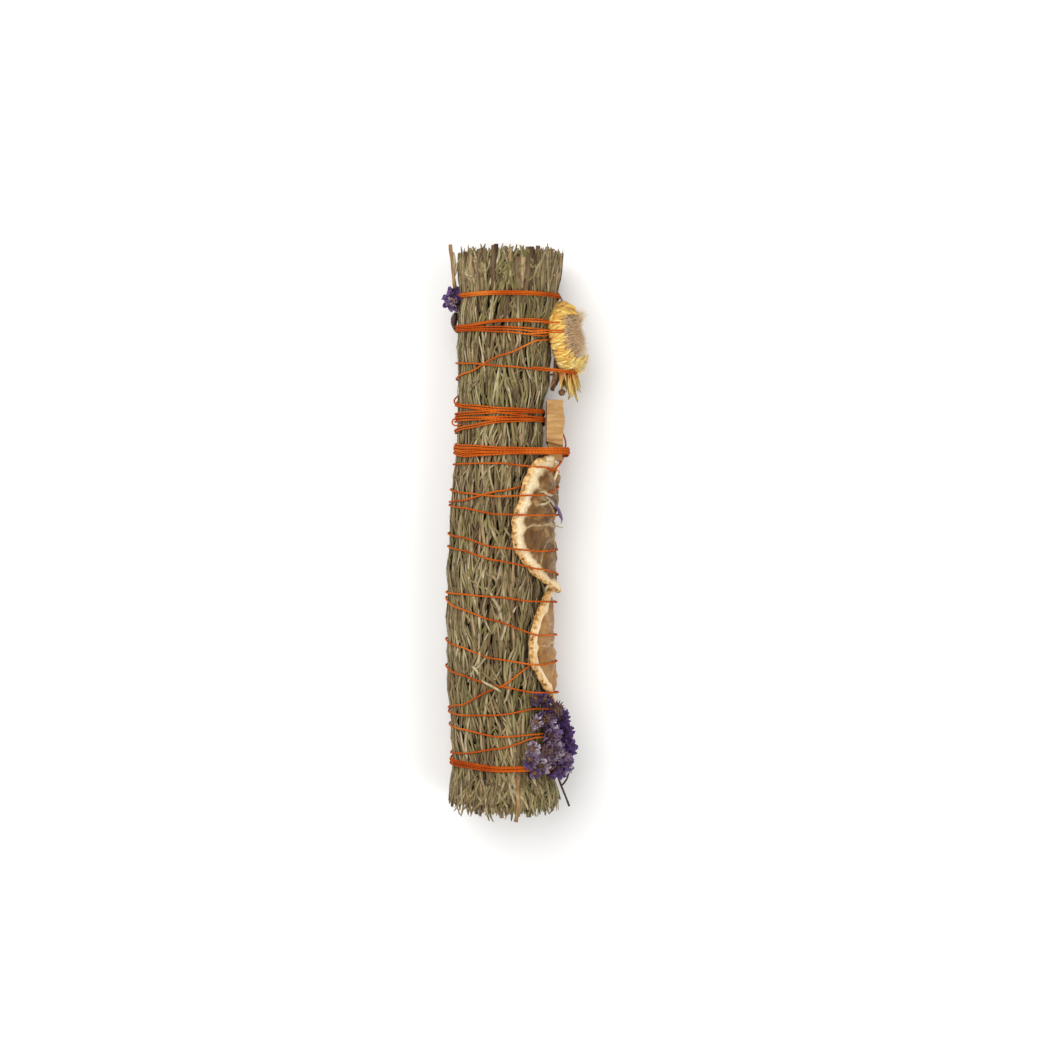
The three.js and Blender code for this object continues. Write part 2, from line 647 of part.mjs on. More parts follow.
// A pointed papery bract: it runs outwards from its root, bulges and bends in again over the flower's middle
function bract(length, width) {
  const blade = new THREE.ConeGeometry(1, 1, 4, 2);
  return reshape(blade, (corner) => {
    const isTip = corner.y > 0.4;
    const isRoot = corner.y < -0.4;
    const scale = isTip ? 0 : isRoot ? 0.45 : 2;
    const [out, up] = isTip ? BRACT_TIP : isRoot ? [0, 0] : BULGE;
    const thick = corner.z * scale * 0.4;
    const y = corner.x * scale * width * 0.5;
    return new THREE.Vector3(out * length + thick * (isRoot ? 0.7 : 1), y, up * length - thick * (isRoot ? 0.7 : 0));
  });
}

function bractLength(ring, turn) {
  const near = Math.max(0, -Math.cos(turn)) * NEAR_SIDE_SHORTER;
  const far = Math.max(0, Math.cos(turn)) * FAR_SIDE_SHORTER;
  return ring.length * (1 - near - far - Math.abs(Math.sin(turn)) * ENDS_SHORTER);
}

function strawflowerBracts() {
  const random = seededRandom(31);
  const profile = [[0, 0], [9.0, 0.2], [11.2, 2.0], [10.8, 4.6], [0, 4.8]]
    .map(([radius, height]) => new THREE.Vector2(radius, height));
  const cup = new THREE.LatheGeometry(profile, 14).rotateX(Math.PI / 2);
  const parts = [toSolid(cup.applyMatrix4(flowerFrame))];
  BRACT_RINGS.forEach((ring, ringIndex) => {
    for (let i = 0; i < ring.count; i += 1) {
      const turn = ((i + ringIndex / 2) / ring.count) * Math.PI * 2 + between(random, -0.05, 0.05);
      const blade = bract(bractLength(ring, turn) * between(random, 0.94, 1.04), between(random, 4.4, 5.2));
      blade.translate(ring.rootRadius, 0, ring.lift);
      blade.rotateZ(turn);
      parts.push(toSolid(blade.applyMatrix4(flowerFrame)));
    }
  });
  for (const [angle, rise, length] of TASSEL) {
    const root = onStick(radians(angle), 67, rise);
    const tip = onStick(radians(angle), 65 - length, rise);
    parts.push(needle(root, tip, 1.3));
  }
  return wasm.Manifold.union(parts);
}

function strawflowerCentre() {
  const random = seededRandom(32);
  const base = 5.3;
  const profile = [[0, 0], [0.8, 0.2], [1, 1.2], [0.6, 2.6], [0, 3.2]]
    .map(([share, height]) => new THREE.Vector2(share * FLUFF_RADIUS, base + height));
  const dome = new THREE.LatheGeometry(profile, 10).rotateX(Math.PI / 2);
  const parts = [toSolid(dome.applyMatrix4(flowerFrame))];
  for (let i = 0; i < FLUFF_TUFTS; i += 1) {
    const share = Math.sqrt((i + 0.5) / FLUFF_TUFTS);
    const turn = i * 2.39996;
    const tuft = new THREE.ConeGeometry(1.5, between(random, 4, 5.2), 3, 1);
    tuft.rotateX(Math.PI / 2).translate(0, 0, 1.6);
    tuft.rotateY(share * 1.1).rotateZ(turn);
    const out = share * FLUFF_RADIUS * 0.72;
    tuft.translate(out * Math.cos(turn), out * Math.sin(turn), base + 2.4 - share);
    parts.push(toSolid(tuft.applyMatrix4(flowerFrame)));
  }
  return wasm.Manifold.union(parts);
}

function strawflowerStem() {
  const parts = [stem(route([[4, 67.4, 1.8], [4, 66, 1.6], [4, 61, 1.5], [4, 56.5, 1.7]]), 0.9)];
  for (const side of [-1, 1]) {
    const from = onStick(radians(4), 66, 1.7);
    const tip = onStick(radians(4 + side * 26), 57, 2.6);
    parts.push(needle(from, tip, 1.7));
  }
  return wasm.Manifold.union(parts);
}

// Statice: star-mouthed papery florets on small heads, on a stem that the thread holds down
function floret(base, direction, length, mouth, random) {
  const star = new THREE.CylinderGeometry(1, 1, 1, FLORET_LOBES * 2, 1);
  const turned = new THREE.Quaternion().setFromUnitVectors(new THREE.Vector3(0, 1, 0), direction);
  const spin = between(random, 0, 1);
  return toSolid(reshape(star, (corner) => {
    const isMouth = corner.y > 0;
    const isCentre = Math.hypot(corner.x, corner.z) < 0.5;
    const turn = Math.atan2(corner.x, corner.z);
    const lobe = Math.round((turn / Math.PI) * FLORET_LOBES) % 2 === 0 ? 1 : 0.62;
    const radius = isCentre ? 0 : isMouth ? mouth * lobe : mouth * 0.34;
    const height = isMouth ? length * (isCentre ? 0.62 : 1) : 0;
    const place = new THREE.Vector3(radius * Math.sin(turn + spin), height, radius * Math.cos(turn + spin));
    return place.applyQuaternion(turned).add(base);
  }));
}

function staticeHead(head, random) {
  const centre = onStick(radians(head.angle), head.y, head.rise);
  const outward = new THREE.Vector3(Math.cos(radians(head.angle)), 0, Math.sin(radians(head.angle)));
  const across = new THREE.Vector3(-outward.z, 0, outward.x);
  const body = new THREE.IcosahedronGeometry(1, 0);
  const [high, long, wide] = head.size;
  const place = (x, y, z) => centre.clone()
    .addScaledVector(outward, Math.max(x, -0.2) * high - (Math.abs(z) ** 2) * wide * 0.34)
    .addScaledVector(across, z * wide).add(new THREE.Vector3(0, y * long, 0));
  const parts = [toSolid(reshape(body, (corner) => place(corner.x, corner.y, corner.z)))];
  for (let i = 0; i < head.florets; i += 1) {
    const around = i * 2.39996 + head.y;
    const share = Math.sqrt((i + 0.4) / head.florets);
    const z = share * Math.sin(around);
    const y = share * Math.cos(around);
    const x = Math.sqrt(Math.max(0.05, 1 - y * y * 0.8 - z * z * 0.8));
    const root = place(x * 0.5, y * 0.62, z * 0.62);
    const direction = outward.clone().multiplyScalar(x + 0.35)
      .addScaledVector(across, z * 1.1).add(new THREE.Vector3(0, y * 0.55, 0)).normalize();
    const reach = head.reach * between(random, 0.9, 1.2);
    parts.push(floret(root, direction, reach, between(random, 2.5, 3.1), random));
  }
  return parts;
}

function staticeSpray(threadRoom, sliceRoom) {
  const random = seededRandom(55);
  const main = [[-71, 1.15], [-80, 1.15], [-92, 1.15], [-98, 1.4]];
  const parts = [
    stem(route(main.map(([y, rise]) => [STATICE_STEM_ANGLE, y, rise])), 0.85),
    stem(route([[16, -95, 3.0], [12, -98.6, 2.6], [8, -103, 2.6], [6, -109, 3.4]]), 0.45, 4),
    stem(route([[11, -99.5, 2.6], [9, -98.2, 5.2], [9, -95.4, 6.7]]), 0.42, 4),
  ];
  for (const head of STATICE_HEADS) parts.push(...staticeHead(head, random));
  return largestBody(wasm.Manifold.union(parts).subtract(threadRoom).subtract(sliceRoom));
}

// The lone floret on the left edge, its straw-coloured stalk and the dark leaf below it
const SIDE_DEGREES = 172;
const SIDE_ANGLE = radians(SIDE_DEGREES);

function sideStalk() {
  return stem(route([[SIDE_DEGREES, 115.2, 3.5], [SIDE_DEGREES, 106, 2.4], [SIDE_DEGREES, 97.6, 1.4]]), 0.8);
}

function sideFloret(threadRoom) {
  const random = seededRandom(71);
  const centre = onStick(SIDE_ANGLE, 92.6, 2.0);
  const parts = [toSolid(new THREE.IcosahedronGeometry(2.1, 0).translate(centre.x, centre.y, centre.z))];
  const directions = [[-0.9, 0.5, 0.4], [-0.7, -0.7, 0.4], [-0.2, 0.7, 0.8], [-0.8, -0.1, -0.6]];
  for (const place of directions) {
    const direction = new THREE.Vector3(...place).normalize();
    parts.push(floret(centre, direction, between(random, 3.2, 4.2), 2.0, random));
  }
  return largestBody(wasm.Manifold.union(parts).subtract(threadRoom));
}

function darkLeaf(threadRoom) {
  const root = onStick(SIDE_ANGLE, 87.2, 1.5);
  const tip = onStick(SIDE_ANGLE, 79.4, 1.2);
  return largestBody(needle(root, tip, 1.5).subtract(threadRoom));
}

// Assembly
const object = new THREE.Group();
const looks = {
  rosemary: { color: 0x8a8258, roughness: 0.85 },
  heart: { color: 0x7b5f48, roughness: 0.9 },
  thread: { color: 0xd9600f, roughness: 0.6 },
  citrus: { color: 0xe6cf9d, roughness: 0.7 },
  wood: { color: 0xc29a63, roughness: 0.75 },
  bract: { color: 0xe6bb5c, roughness: 0.55 },
  fluff: { color: 0xc0a382, roughness: 0.95 },
  brown: { color: 0x6d4a30, roughness: 0.85 },
  statice: { color: 0x6f5394, roughness: 0.7 },
  straw: { color: 0xae8658, roughness: 0.8 },
  darkLeaf: { color: 0x3c2422, roughness: 0.8 },
};

const thread = largestBody(wholeThread(THREAD_RADIUS));
const threadRoom = wholeThread(THREAD_RADIUS + GAP * 2);
const lowerSlice = citrusSlice(LOWER_SLICE);

for (let i = 0; i < SPRIG_COUNT; i += 1) {
  object.add(toMesh(rosemarySprig(i), `rosemary_sprig_${i + 1}`, looks.rosemary));
}
object.add(toMesh(heartStems(), 'heart_stems', looks.heart));
object.add(toMesh(thread, 'orange_thread', looks.thread));
object.add(toMesh(citrusSlice(UPPER_SLICE), 'citrus_slice_upper', looks.citrus));
object.add(toMesh(lowerSlice, 'citrus_slice_lower', looks.citrus));
object.add(toMesh(woodBlock(), 'wood_block', looks.wood));
object.add(toMesh(largestBody(strawflowerBracts().subtract(threadRoom)), 'strawflower_bracts', looks.bract));
object.add(toMesh(largestBody(strawflowerCentre()), 'strawflower_centre', looks.fluff));
object.add(toMesh(largestBody(strawflowerStem()), 'strawflower_stem', looks.brown));
object.add(toMesh(staticeSpray(threadRoom, lowerSlice), 'statice_spray', looks.statice));
object.add(toMesh(sideStalk(), 'side_floret_stalk', looks.straw));
object.add(toMesh(sideFloret(threadRoom), 'side_floret', looks.statice));
object.add(toMesh(darkLeaf(threadRoom), 'dark_leaf', looks.darkLeaf));

// The origin is under the middle of the whole stick, on the surface that it lies on
const middle = new THREE.Box3().setFromObject(object).getCenter(new THREE.Vector3());
for (const mesh of object.children) mesh.geometry.translate(-middle.x, -middle.y, 0);

export default object;
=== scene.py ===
# %% [markdown]
# # A dried rosemary stick bound with orange thread
# This notebook dresses a plain model of the stick: rosemary, two dried citrus slices, a strawflower, a
# statice spray and a small wood block, all held by one thread. The plain model gives every place and size.
# The pieces here follow it, and add the needles, petals, fibres and colours of the real thing.

# %% Load the frame
import math
import random

import bmesh
import bpy
import numpy as np
from mathutils import Matrix, Vector, noise


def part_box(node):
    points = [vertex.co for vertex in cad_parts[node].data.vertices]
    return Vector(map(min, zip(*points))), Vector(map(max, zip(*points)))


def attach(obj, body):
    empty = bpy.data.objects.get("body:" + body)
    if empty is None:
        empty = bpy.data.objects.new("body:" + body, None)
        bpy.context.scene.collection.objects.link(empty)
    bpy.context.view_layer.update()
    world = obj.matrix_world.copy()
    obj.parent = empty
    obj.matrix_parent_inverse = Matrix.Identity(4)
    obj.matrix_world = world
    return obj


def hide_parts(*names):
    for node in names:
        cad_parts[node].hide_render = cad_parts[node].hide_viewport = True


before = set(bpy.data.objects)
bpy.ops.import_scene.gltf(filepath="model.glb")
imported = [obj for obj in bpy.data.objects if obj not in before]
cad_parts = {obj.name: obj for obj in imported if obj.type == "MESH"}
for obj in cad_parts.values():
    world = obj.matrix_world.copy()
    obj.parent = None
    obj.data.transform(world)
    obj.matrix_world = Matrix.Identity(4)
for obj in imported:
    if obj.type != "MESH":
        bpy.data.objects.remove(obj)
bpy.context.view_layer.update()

# The noise that crumples the petals starts from the clock, unless it gets a number to start from.
noise.seed_set(1)
print("nodes in the frame:", len(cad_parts))

# %% [markdown]
# ## Measures
# The stick is easier to think about in millimetres, and in the place where it was first drawn. The wood
# block is a plain shape with known corners, so its box tells how far the whole stick was moved afterwards.
# One matrix then takes every finished piece from the drawing to the frame.

# %% From the drawing to the frame
MM = 0.001
BLOCK_OUTER_X = 25.1
BLOCK_TOP_Y = 52.3
BLOCK_BOTTOM_Y = 29.7
BLOCK_STEP_Y = 35

block_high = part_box("wood_block")[1]
MOVED = Vector((BLOCK_OUTER_X - block_high.x / MM, BLOCK_TOP_Y + 0.1 - block_high.y / MM, 0))
TO_FRAME = Matrix.Scale(MM, 4) @ Matrix.Translation(-MOVED)
print("the drawing was moved by", [round(v, 2) for v in MOVED], "mm")

# %% [markdown]
# ## The bundle's surface
# A few stations along the stick give its sideways bend and its radius at the thread. Both ends flare a
# little, the underside is pressed by the stick's own weight, and the wood block flattens the side that it
# leans on. The functions take single numbers or whole arrays, so that thousands of needles can be rolled
# round the stick at once.

# %% Surface functions
STATIONS = [
    [118, 4.6, 21.0], [94, 3.4, 20.3], [82, 1.6, 19.2], [53, 1.5, 18.9],
    [33, 0.5, 18.5], [13, -0.7, 19.5], [-27, -1.8, 19.8], [-52, -1.8, 19.8],
    [-87, 0.2, 19.8], [-96, 0.8, 20.3], [-108, 2.0, 22.3], [-118, 2.2, 22.7],
]
STATION_Y, STATION_CENTRE, STATION_RADIUS = np.array(STATIONS[::-1]).T
TOP_END = 112
BOTTOM_END = -111
AXIS_HEIGHT_TOP = 20.4
AXIS_HEIGHT_BOTTOM = 21.6
UNDERSIDE_PRESS = 0.05
FLARE_LENGTH = 8
BAND = 95
PRESSED_X = 17.4


def smooth(value, low, high):
    part = np.clip((value - low) / (high - low), 0, 1)
    return part * part * (3 - 2 * part)


def centre_x(y):
    return np.interp(y, STATION_Y, STATION_CENTRE)


def radius_at(y):
    return np.interp(y, STATION_Y, STATION_RADIUS)


def axis_height(y):
    part = (y - BOTTOM_END) / (TOP_END - BOTTOM_END)
    return AXIS_HEIGHT_BOTTOM + (AXIS_HEIGHT_TOP - AXIS_HEIGHT_BOTTOM) * part


def in_middle(y):
    return (1 - smooth(y, BAND, BAND + FLARE_LENGTH)) * smooth(y, -BAND - FLARE_LENGTH, -BAND)


def thread_level(angle, y):
    underside = np.maximum(0, -np.sin(angle))
    radius = radius_at(y) * (1 - UNDERSIDE_PRESS * underside**2 * in_middle(y))
    pressed = smooth(y, BLOCK_BOTTOM_Y - 8, BLOCK_BOTTOM_Y) * (1 - smooth(y, BLOCK_TOP_Y, BLOCK_TOP_Y + 8))
    sideways = np.cos(angle)
    flat = np.where(sideways > 0.5, (PRESSED_X - centre_x(y)) / np.maximum(sideways, 0.5), radius)
    return radius + (np.minimum(radius, flat) - radius) * pressed


def at_radius(angle, y, radius):
    x = centre_x(y) + radius * np.cos(angle)
    return np.stack([x, y, axis_height(y) + radius * np.sin(angle)], axis=-1)


def on_stick(degrees, y, rise):
    angle = math.radians(degrees)
    return Vector(at_radius(angle, float(y), thread_level(angle, float(y)) + rise))


print("radius at the middle:", round(float(radius_at(0)), 1), "mm")

# %% [markdown]
# ## Camera, floor and light
# The camera looks straight down on the stick from about 85 cm, as for a product picture on a white table.
# Its height and lens are set so that one pixel of the picture is 0.4 mm at the stick's axis. The light is
# large and soft: a bright room, one big lamp up on the left and a weaker one on the right.

# %% Camera, floor and lamps
PIXEL = 0.4
PICTURE = 1048
CAMERA_HEIGHT = 850
CAMERA_PLACE = Vector((9.6, 3.2, 21 + CAMERA_HEIGHT))


def add_camera():
    data = bpy.data.cameras.new("camera")
    data.lens = data.sensor_width * CAMERA_HEIGHT / (PICTURE * PIXEL)
    data.clip_end = 10
    camera = bpy.data.objects.new("camera", data)
    camera.location = TO_FRAME @ CAMERA_PLACE
    bpy.context.scene.collection.objects.link(camera)
    bpy.context.scene.camera = camera


def add_lamp(name, place, size, power):
    data = bpy.data.lights.new(name, "AREA")
    data.shape = "DISK"
    data.size = size
    data.energy = power
    lamp = bpy.data.objects.new(name, data)
    lamp.location = place
    lamp.rotation_euler = (-Vector(place)).to_track_quat("-Z", "Y").to_euler()
    bpy.context.scene.collection.objects.link(lamp)


def add_room(strength):
    world = bpy.data.worlds.new("room")
    world.use_nodes = True
    world.node_tree.nodes["Background"].inputs["Color"].default_value = (1.0, 0.99, 0.97, 1)
    world.node_tree.nodes["Background"].inputs["Strength"].default_value = strength
    bpy.context.scene.world = world


def add_floor(half_width):
    bm = bmesh.new()
    bmesh.ops.create_grid(bm, x_segments=1, y_segments=1, size=half_width)
    mesh = bpy.data.meshes.new("floor")
    bm.to_mesh(mesh)
    bm.free()
    floor = bpy.data.objects.new("floor", mesh)
    bpy.context.scene.collection.objects.link(floor)
    paint = bpy.data.materials.new("floor_paint")
    paint.use_nodes = True
    paint.node_tree.nodes["Principled BSDF"].inputs["Base Color"].default_value = (0.93, 0.93, 0.925, 1)
    paint.node_tree.nodes["Principled BSDF"].inputs["Roughness"].default_value = 0.9
    mesh.materials.append(paint)


add_camera()
add_lamp("lamp_left", (-0.45, 0.45, 1.0), 1.3, 11)
add_lamp("lamp_right", (0.7, -0.3, 0.9), 0.9, 4.5)
add_room(0.62)
add_floor(3)
bpy.context.scene.view_settings.view_transform = "Standard"
print("lens:", round(bpy.context.scene.camera.data.lens, 1), "mm")

# %% [markdown]
# ## Helpers for finishes
# Every finish is a small tree of nodes. These helpers add one node each, so that a finish reads as a list
# of steps: where the pattern is measured, what noise varies it, which colours it runs through, and how
# rough and bumpy the result is.

# %% Node helpers
class Finish:
    def __init__(self, name):
        self.material = bpy.data.materials.new(name)
        self.material.use_nodes = True
        self.tree = self.material.node_tree
        self.shader = self.tree.nodes["Principled BSDF"]

    def add(self, kind, inputs=None, **settings):
        made = self.tree.nodes.new(kind)
        for key, value in settings.items():
            setattr(made, key, value)
        for key, value in (inputs or {}).items():
            self.feed(made.inputs[key], value)
        return made

    def feed(self, socket, value):
        if isinstance(value, bpy.types.NodeSocket):
            self.tree.links.new(value, socket)
        else:
            socket.default_value = value

    def place(self, scale=(1, 1, 1), rotation=(0, 0, 0)):
        coordinates = self.add("ShaderNodeTexCoord").outputs["Object"]
        mapping = self.add("ShaderNodeMapping", {"Vector": coordinates, "Scale": scale, "Rotation": rotation})
        return mapping.outputs["Vector"]

    def attribute(self, name):
        return self.add("ShaderNodeAttribute", attribute_name=name).outputs["Fac"]

    def noise(self, vector, scale, detail=3, roughness=0.55, distortion=0):
        inputs = {"Vector": vector, "Scale": scale, "Detail": detail}
        inputs.update({"Roughness": roughness, "Distortion": distortion})
        return self.add("ShaderNodeTexNoise", inputs).outputs["Fac"]

    def math(self, operation, a, b=0.0, clamp=False):
        return self.add("ShaderNodeMath", {0: a, 1: b}, operation=operation, use_clamp=clamp).outputs[0]

    def weigh(self, first, first_share, second, second_share):
        weighed = self.math("MULTIPLY", first, first_share)
        return self.math("ADD", weighed, self.math("MULTIPLY", second, second_share))

    def spread(self, value, low, high, to_low=0.0, to_high=1.0):
        inputs = {"Value": value, "From Min": low, "From Max": high, "To Min": to_low, "To Max": to_high}
        return self.add("ShaderNodeMapRange", inputs).outputs["Result"]

    def ramp(self, factor, stops):
        """Colours for a factor. Each stop is its place from 0 to 1, then red, green and blue."""
        made = self.add("ShaderNodeValToRGB", {"Fac": factor})
        while len(made.color_ramp.elements) < len(stops):
            made.color_ramp.elements.new(0.5)
        for element, (position, *colour) in zip(made.color_ramp.elements, stops):
            element.position = position
            element.color = paint(*colour)
        return made.outputs["Color"]

    def mix(self, factor, first, second, blend="MIX"):
        made = self.add("ShaderNodeMix", data_type="RGBA", blend_type=blend)
        self.feed(made.inputs["Factor"], factor)
        self.feed(made.inputs["A"], first)
        self.feed(made.inputs["B"], second)
        return made.outputs["Result"]

    def bump(self, height, distance, strength=1.0, under=None):
        inputs = {"Height": height, "Distance": distance, "Strength": strength}
        if under is not None:
            inputs["Normal"] = under
        return self.add("ShaderNodeBump", inputs).outputs["Normal"]

    def finish(self, **inputs):
        for key, value in inputs.items():
            self.feed(self.shader.inputs[key.replace("_", " ").title().replace("Ior", "IOR")], value)
        print(f"{self.material.name}: {len(self.tree.nodes)} nodes")
        return self.material


def paint(red, green, blue):
    """A colour as it looks on a screen, 0 to 255, made linear for a shader."""
    screen = [value / 255 for value in (red, green, blue)]
    linear = [v / 12.92 if v <= 0.04045 else ((v + 0.055) / 1.055) ** 2.4 for v in screen]
    return (*linear, 1.0)


print("finish helpers ready")

# %% [markdown]
# ## Helpers for shapes
# Long thin things (thread, stems, stalks) are swept: a small ring is extruded again and again, and each new
# ring is carried to the next place by a matrix. Small things that repeat (needles, bracts, hairs) are made
# once as a template and copied with a matrix each. Each copy carries a number called tone, so that
# neighbours differ in colour.

# %% Helpers for a bmesh
WELD = 0.0005


def to_mesh(bm, name):
    mesh = bpy.data.meshes.new(name)
    bm.to_mesh(mesh)
    bm.free()
    return mesh


def labelled_bmesh(*names):
    """A new bmesh in which every vertex can carry a number under each name."""
    bm = bmesh.new()
    for name in names:
        bm.verts.layers.float.new(name)
    return bm


def mark(bm, name, value):
    """Gives every vertex of a bmesh the same number under a name."""
    layer = bm.verts.layers.float.get(name) or bm.verts.layers.float.new(name)
    for vert in bm.verts:
        vert[layer] = value


def set_material(bm, number):
    """Gives every face the material with this number in the piece's list."""
    for face in bm.faces:
        face.material_index = number


def box_bmesh(size, middle):
    bm = bmesh.new()
    bmesh.ops.create_cube(bm, size=1)
    bmesh.ops.scale(bm, vec=size, verts=bm.verts)
    bmesh.ops.translate(bm, vec=middle, verts=bm.verts)
    return bm


def edges_along(bm, axis):
    """The edges that run more than 1 mm along an axis: 0 is X, 1 is Y."""
    return [e for e in bm.edges if abs(e.verts[0].co[axis] - e.verts[1].co[axis]) > 1]


def spun(profile, steps):
    """Spins a chain of points (distance from Z, height) into a closed shape."""
    bm = bmesh.new()
    chain = [bm.verts.new((out, 0, height)) for out, height in profile]
    edges = [bm.edges.new(pair) for pair in zip(chain, chain[1:])]
    full_turn = {"cent": (0, 0, 0), "axis": (0, 0, 1), "angle": 2 * math.pi, "use_merge": True}
    bmesh.ops.spin(bm, geom=chain + edges, steps=steps, **full_turn)
    bmesh.ops.remove_doubles(bm, verts=bm.verts, dist=WELD)
    bmesh.ops.recalc_face_normals(bm, faces=bm.faces)
    return bm


# %% Sweeping a tube
UP = Vector((0, 0, 1))
SIDEWAYS = Vector((1, 0, 0))


def ring_matrix(centre, along, up, size):
    """A frame with its X and Y across a path and its Z along it."""
    along = along.normalized()
    across = up.cross(along).normalized()
    turned = Matrix((across, along.cross(across), along)).transposed().to_4x4()
    return Matrix.Translation(centre) @ turned @ Matrix.Scale(size, 4)


def next_ring(bm, edges):
    """Extrudes a ring of edges, and gives the new ring's vertices and edges."""
    made = bmesh.ops.extrude_edge_only(bm, edges=edges)["geom"]
    ring = [g for g in made if isinstance(g, bmesh.types.BMVert)]
    return ring, [g for g in made if isinstance(g, bmesh.types.BMEdge) and all(v in ring for v in g.verts)]


def for_each(value, points):
    """A list as it is, or one value repeated for every point."""
    return value if isinstance(value, list) else [value] * len(points)


def sweep(points, sizes, ups, sides, lobes=0.0, twist=0.0):
    """A closed tube through points, with a size and an upward way for each point or one for all.

    lobes shrinks every other corner of the tube, and twist turns each ring by that angle."""
    sizes, ups = for_each(sizes, points), for_each(ups, points)
    bm = labelled_bmesh("along")
    along_layer = bm.verts.layers.float["along"]
    ring = bmesh.ops.create_circle(bm, segments=sides, radius=1)["verts"]
    for number, vert in enumerate(ring):
        vert.co *= 1 - lobes * (number % 2)
    edges = list(bm.edges)
    carried = Matrix.Identity(4)
    length = 0.0
    for i, point in enumerate(points):
        if i > 0:
            ring, edges = next_ring(bm, edges)
            length += (point - points[i - 1]).length
        ahead = points[min(i + 1, len(points) - 1)] - points[max(i - 1, 0)]
        wanted = ring_matrix(point, ahead, ups[i], sizes[i]) @ Matrix.Rotation(twist * i, 4, "Z")
        bmesh.ops.transform(bm, matrix=wanted @ carried.inverted(), verts=ring)
        for vert in ring:
            vert[along_layer] = length
        carried = wanted
    bmesh.ops.holes_fill(bm, edges=[e for e in bm.edges if e.is_boundary], sides=0)
    bmesh.ops.recalc_face_normals(bm, faces=bm.faces)
    return bm


# %% Copies and finished pieces
FLOOR_GAP = 0.03


def add_copy(bm, template, matrix, tone):
    """Adds a template mesh to a bmesh in a place, with its own tone."""
    copy = template.copy()
    copy.transform(matrix)
    count = len(copy.vertices)
    copy.attributes["tone"].data.foreach_set("value", np.full(count, tone, np.float32))
    bm.from_mesh(copy)
    bpy.data.meshes.remove(copy)


def add_bmesh(bm, other, tone=None):
    """Adds one bmesh to another and frees it."""
    if tone is not None:
        mark(other, "tone", tone)
    mesh = to_mesh(other, "part")
    bm.from_mesh(mesh)
    bpy.data.meshes.remove(mesh)


def coordinates(mesh):
    places = np.zeros(len(mesh.vertices) * 3, np.float32)
    mesh.vertices.foreach_get("co", places)
    return places.reshape(-1, 3).astype(float)


def set_coordinates(mesh, places):
    mesh.vertices.foreach_set("co", places.astype(np.float32).ravel())
    mesh.update()


def add_piece(mesh, name, materials, nodes, smooth_faces=True):
    """Takes a mesh from the drawing to the frame, adds it under the root and hides the frame's nodes that it
    stands for.
    """
    places = coordinates(mesh)
    places[:, 2] = np.maximum(places[:, 2], FLOOR_GAP)
    set_coordinates(mesh, places)
    mesh.transform(TO_FRAME)
    mesh.polygons.foreach_set("use_smooth", [smooth_faces] * len(mesh.polygons))
    mesh.update()
    for material in materials:
        mesh.materials.append(material)
    piece = bpy.data.objects.new(name, mesh)
    bpy.context.scene.collection.objects.link(piece)
    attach(piece, "root")
    if nodes:
        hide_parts(*nodes)
    triangles = sum(len(p.vertices) - 2 for p in mesh.polygons)
    print(f"{name}: {triangles} triangles")


print("shape helpers ready")

# %% [markdown]
# ## The thread's route
# One thread goes round the stick thirty times. Each row of the list is a turn, with its place along the
# stick at five angles: left, upper left, top, upper right and right. It goes back underneath to the next
# row. Where a turn crosses a slice, the block, the petals or the statice, it is pulled taut over them, which
# is the outline that a rubber band would take round the same bumps.

# %% Thread rows
TURN_ANGLES = [180, 135, 90, 45, 0]
THREAD_TURNS = [
    ([94.6, 94.2, 94.2, 94.2, 94.6], ""),
    ([93.5, 93.1, 93.1, 93.1, 93.5], ""),
    ([82.2, 81.6, 83.2, 83.8, 83.2], ""),
    ([81.2, 80.6, 80.4, 80.0, 80.2], ""),
    ([80.2, 79.4, 78.4, 77.4, 78.6], ""),
    ([67.5, 66.5, 65.0, 64.0, 64.0], "petals"),
    ([61.0, 63.0, 69.5, 75.5, 77.2], ""),
    ([51.5, 50.0, 48.6, 48.2, 48.2], ""),
    ([46.2, 46.4, 46.8, 47.0, 47.0], ""),
    ([45.0, 45.1, 45.2, 45.4, 45.6], ""),
    ([39.5, 41.0, 43.2, 43.8, 44.2], ""),
    ([35.0, 34.2, 33.2, 33.0, 33.4], "block"),
    ([33.9, 32.8, 32.1, 32.0, 32.4], "block"),
    ([32.6, 30.4, 30.6, 30.9, 31.0], "block"),
    ([27.0, 27.0, 27.0, 25.5, 24.0], "upper"),
    ([17.0, 15.5, 14.0, 14.5, 18.0], "upper"),
    ([12.0, 12.5, 16.0, 19.0, 20.5], ""),
    ([10.8, 9.6, 7.0, 6.5, 7.0], "upper"),
    ([-0.5, -2.0, -6.0, -7.5, -7.0], "upper"),
    ([-5.5, -7.0, -11.0, -14.5, -17.0], "upper"),
    ([-24.0, -24.3, -25.3, -27.2, -28.0], "lower"),
    ([-26.0, -30.0, -34.5, -40.5, -41.0], "lower"),
    ([-42.5, -45.0, -49.5, -52.0, -51.5], "lower"),
    ([-53.0, -56.0, -60.0, -63.0, -64.0], "lower"),
    ([-70.0, -68.0, -61.0, -52.5, -50.0], ""),
    ([-71.5, -72.0, -71.5, -69.5, -70.5], "statice"),
    ([-76.5, -77.5, -80.0, -79.5, -79.2], "statice"),
    ([-88.0, -87.0, -84.5, -80.8, -80.3], "statice"),
    ([-90.0, -90.4, -91.8, -92.0, -91.6], "statice"),
    ([-91.2, -91.6, -92.9, -93.1, -92.7], "statice"),
]
UPPER_SLICE = {
    "angle": 2, "y": 2.6, "radius": 26.4, "segments": 9,
    "lip": 2.9, "below": 0.76, "hook": 4.4, "stretch": 0.07,
}
LOWER_SLICE = {
    "angle": -12, "y": -44.8, "radius": 23.6, "segments": 8,
    "lip": 0, "below": 0.68, "hook": 1.5, "stretch": 0.04,
}
SLICE_RISE = 1.3
PITH_THICKNESS = 2.2
LIP_LENGTH = 9
THREAD_RADIUS = 0.42
THREAD_CLEARANCE = 1.1

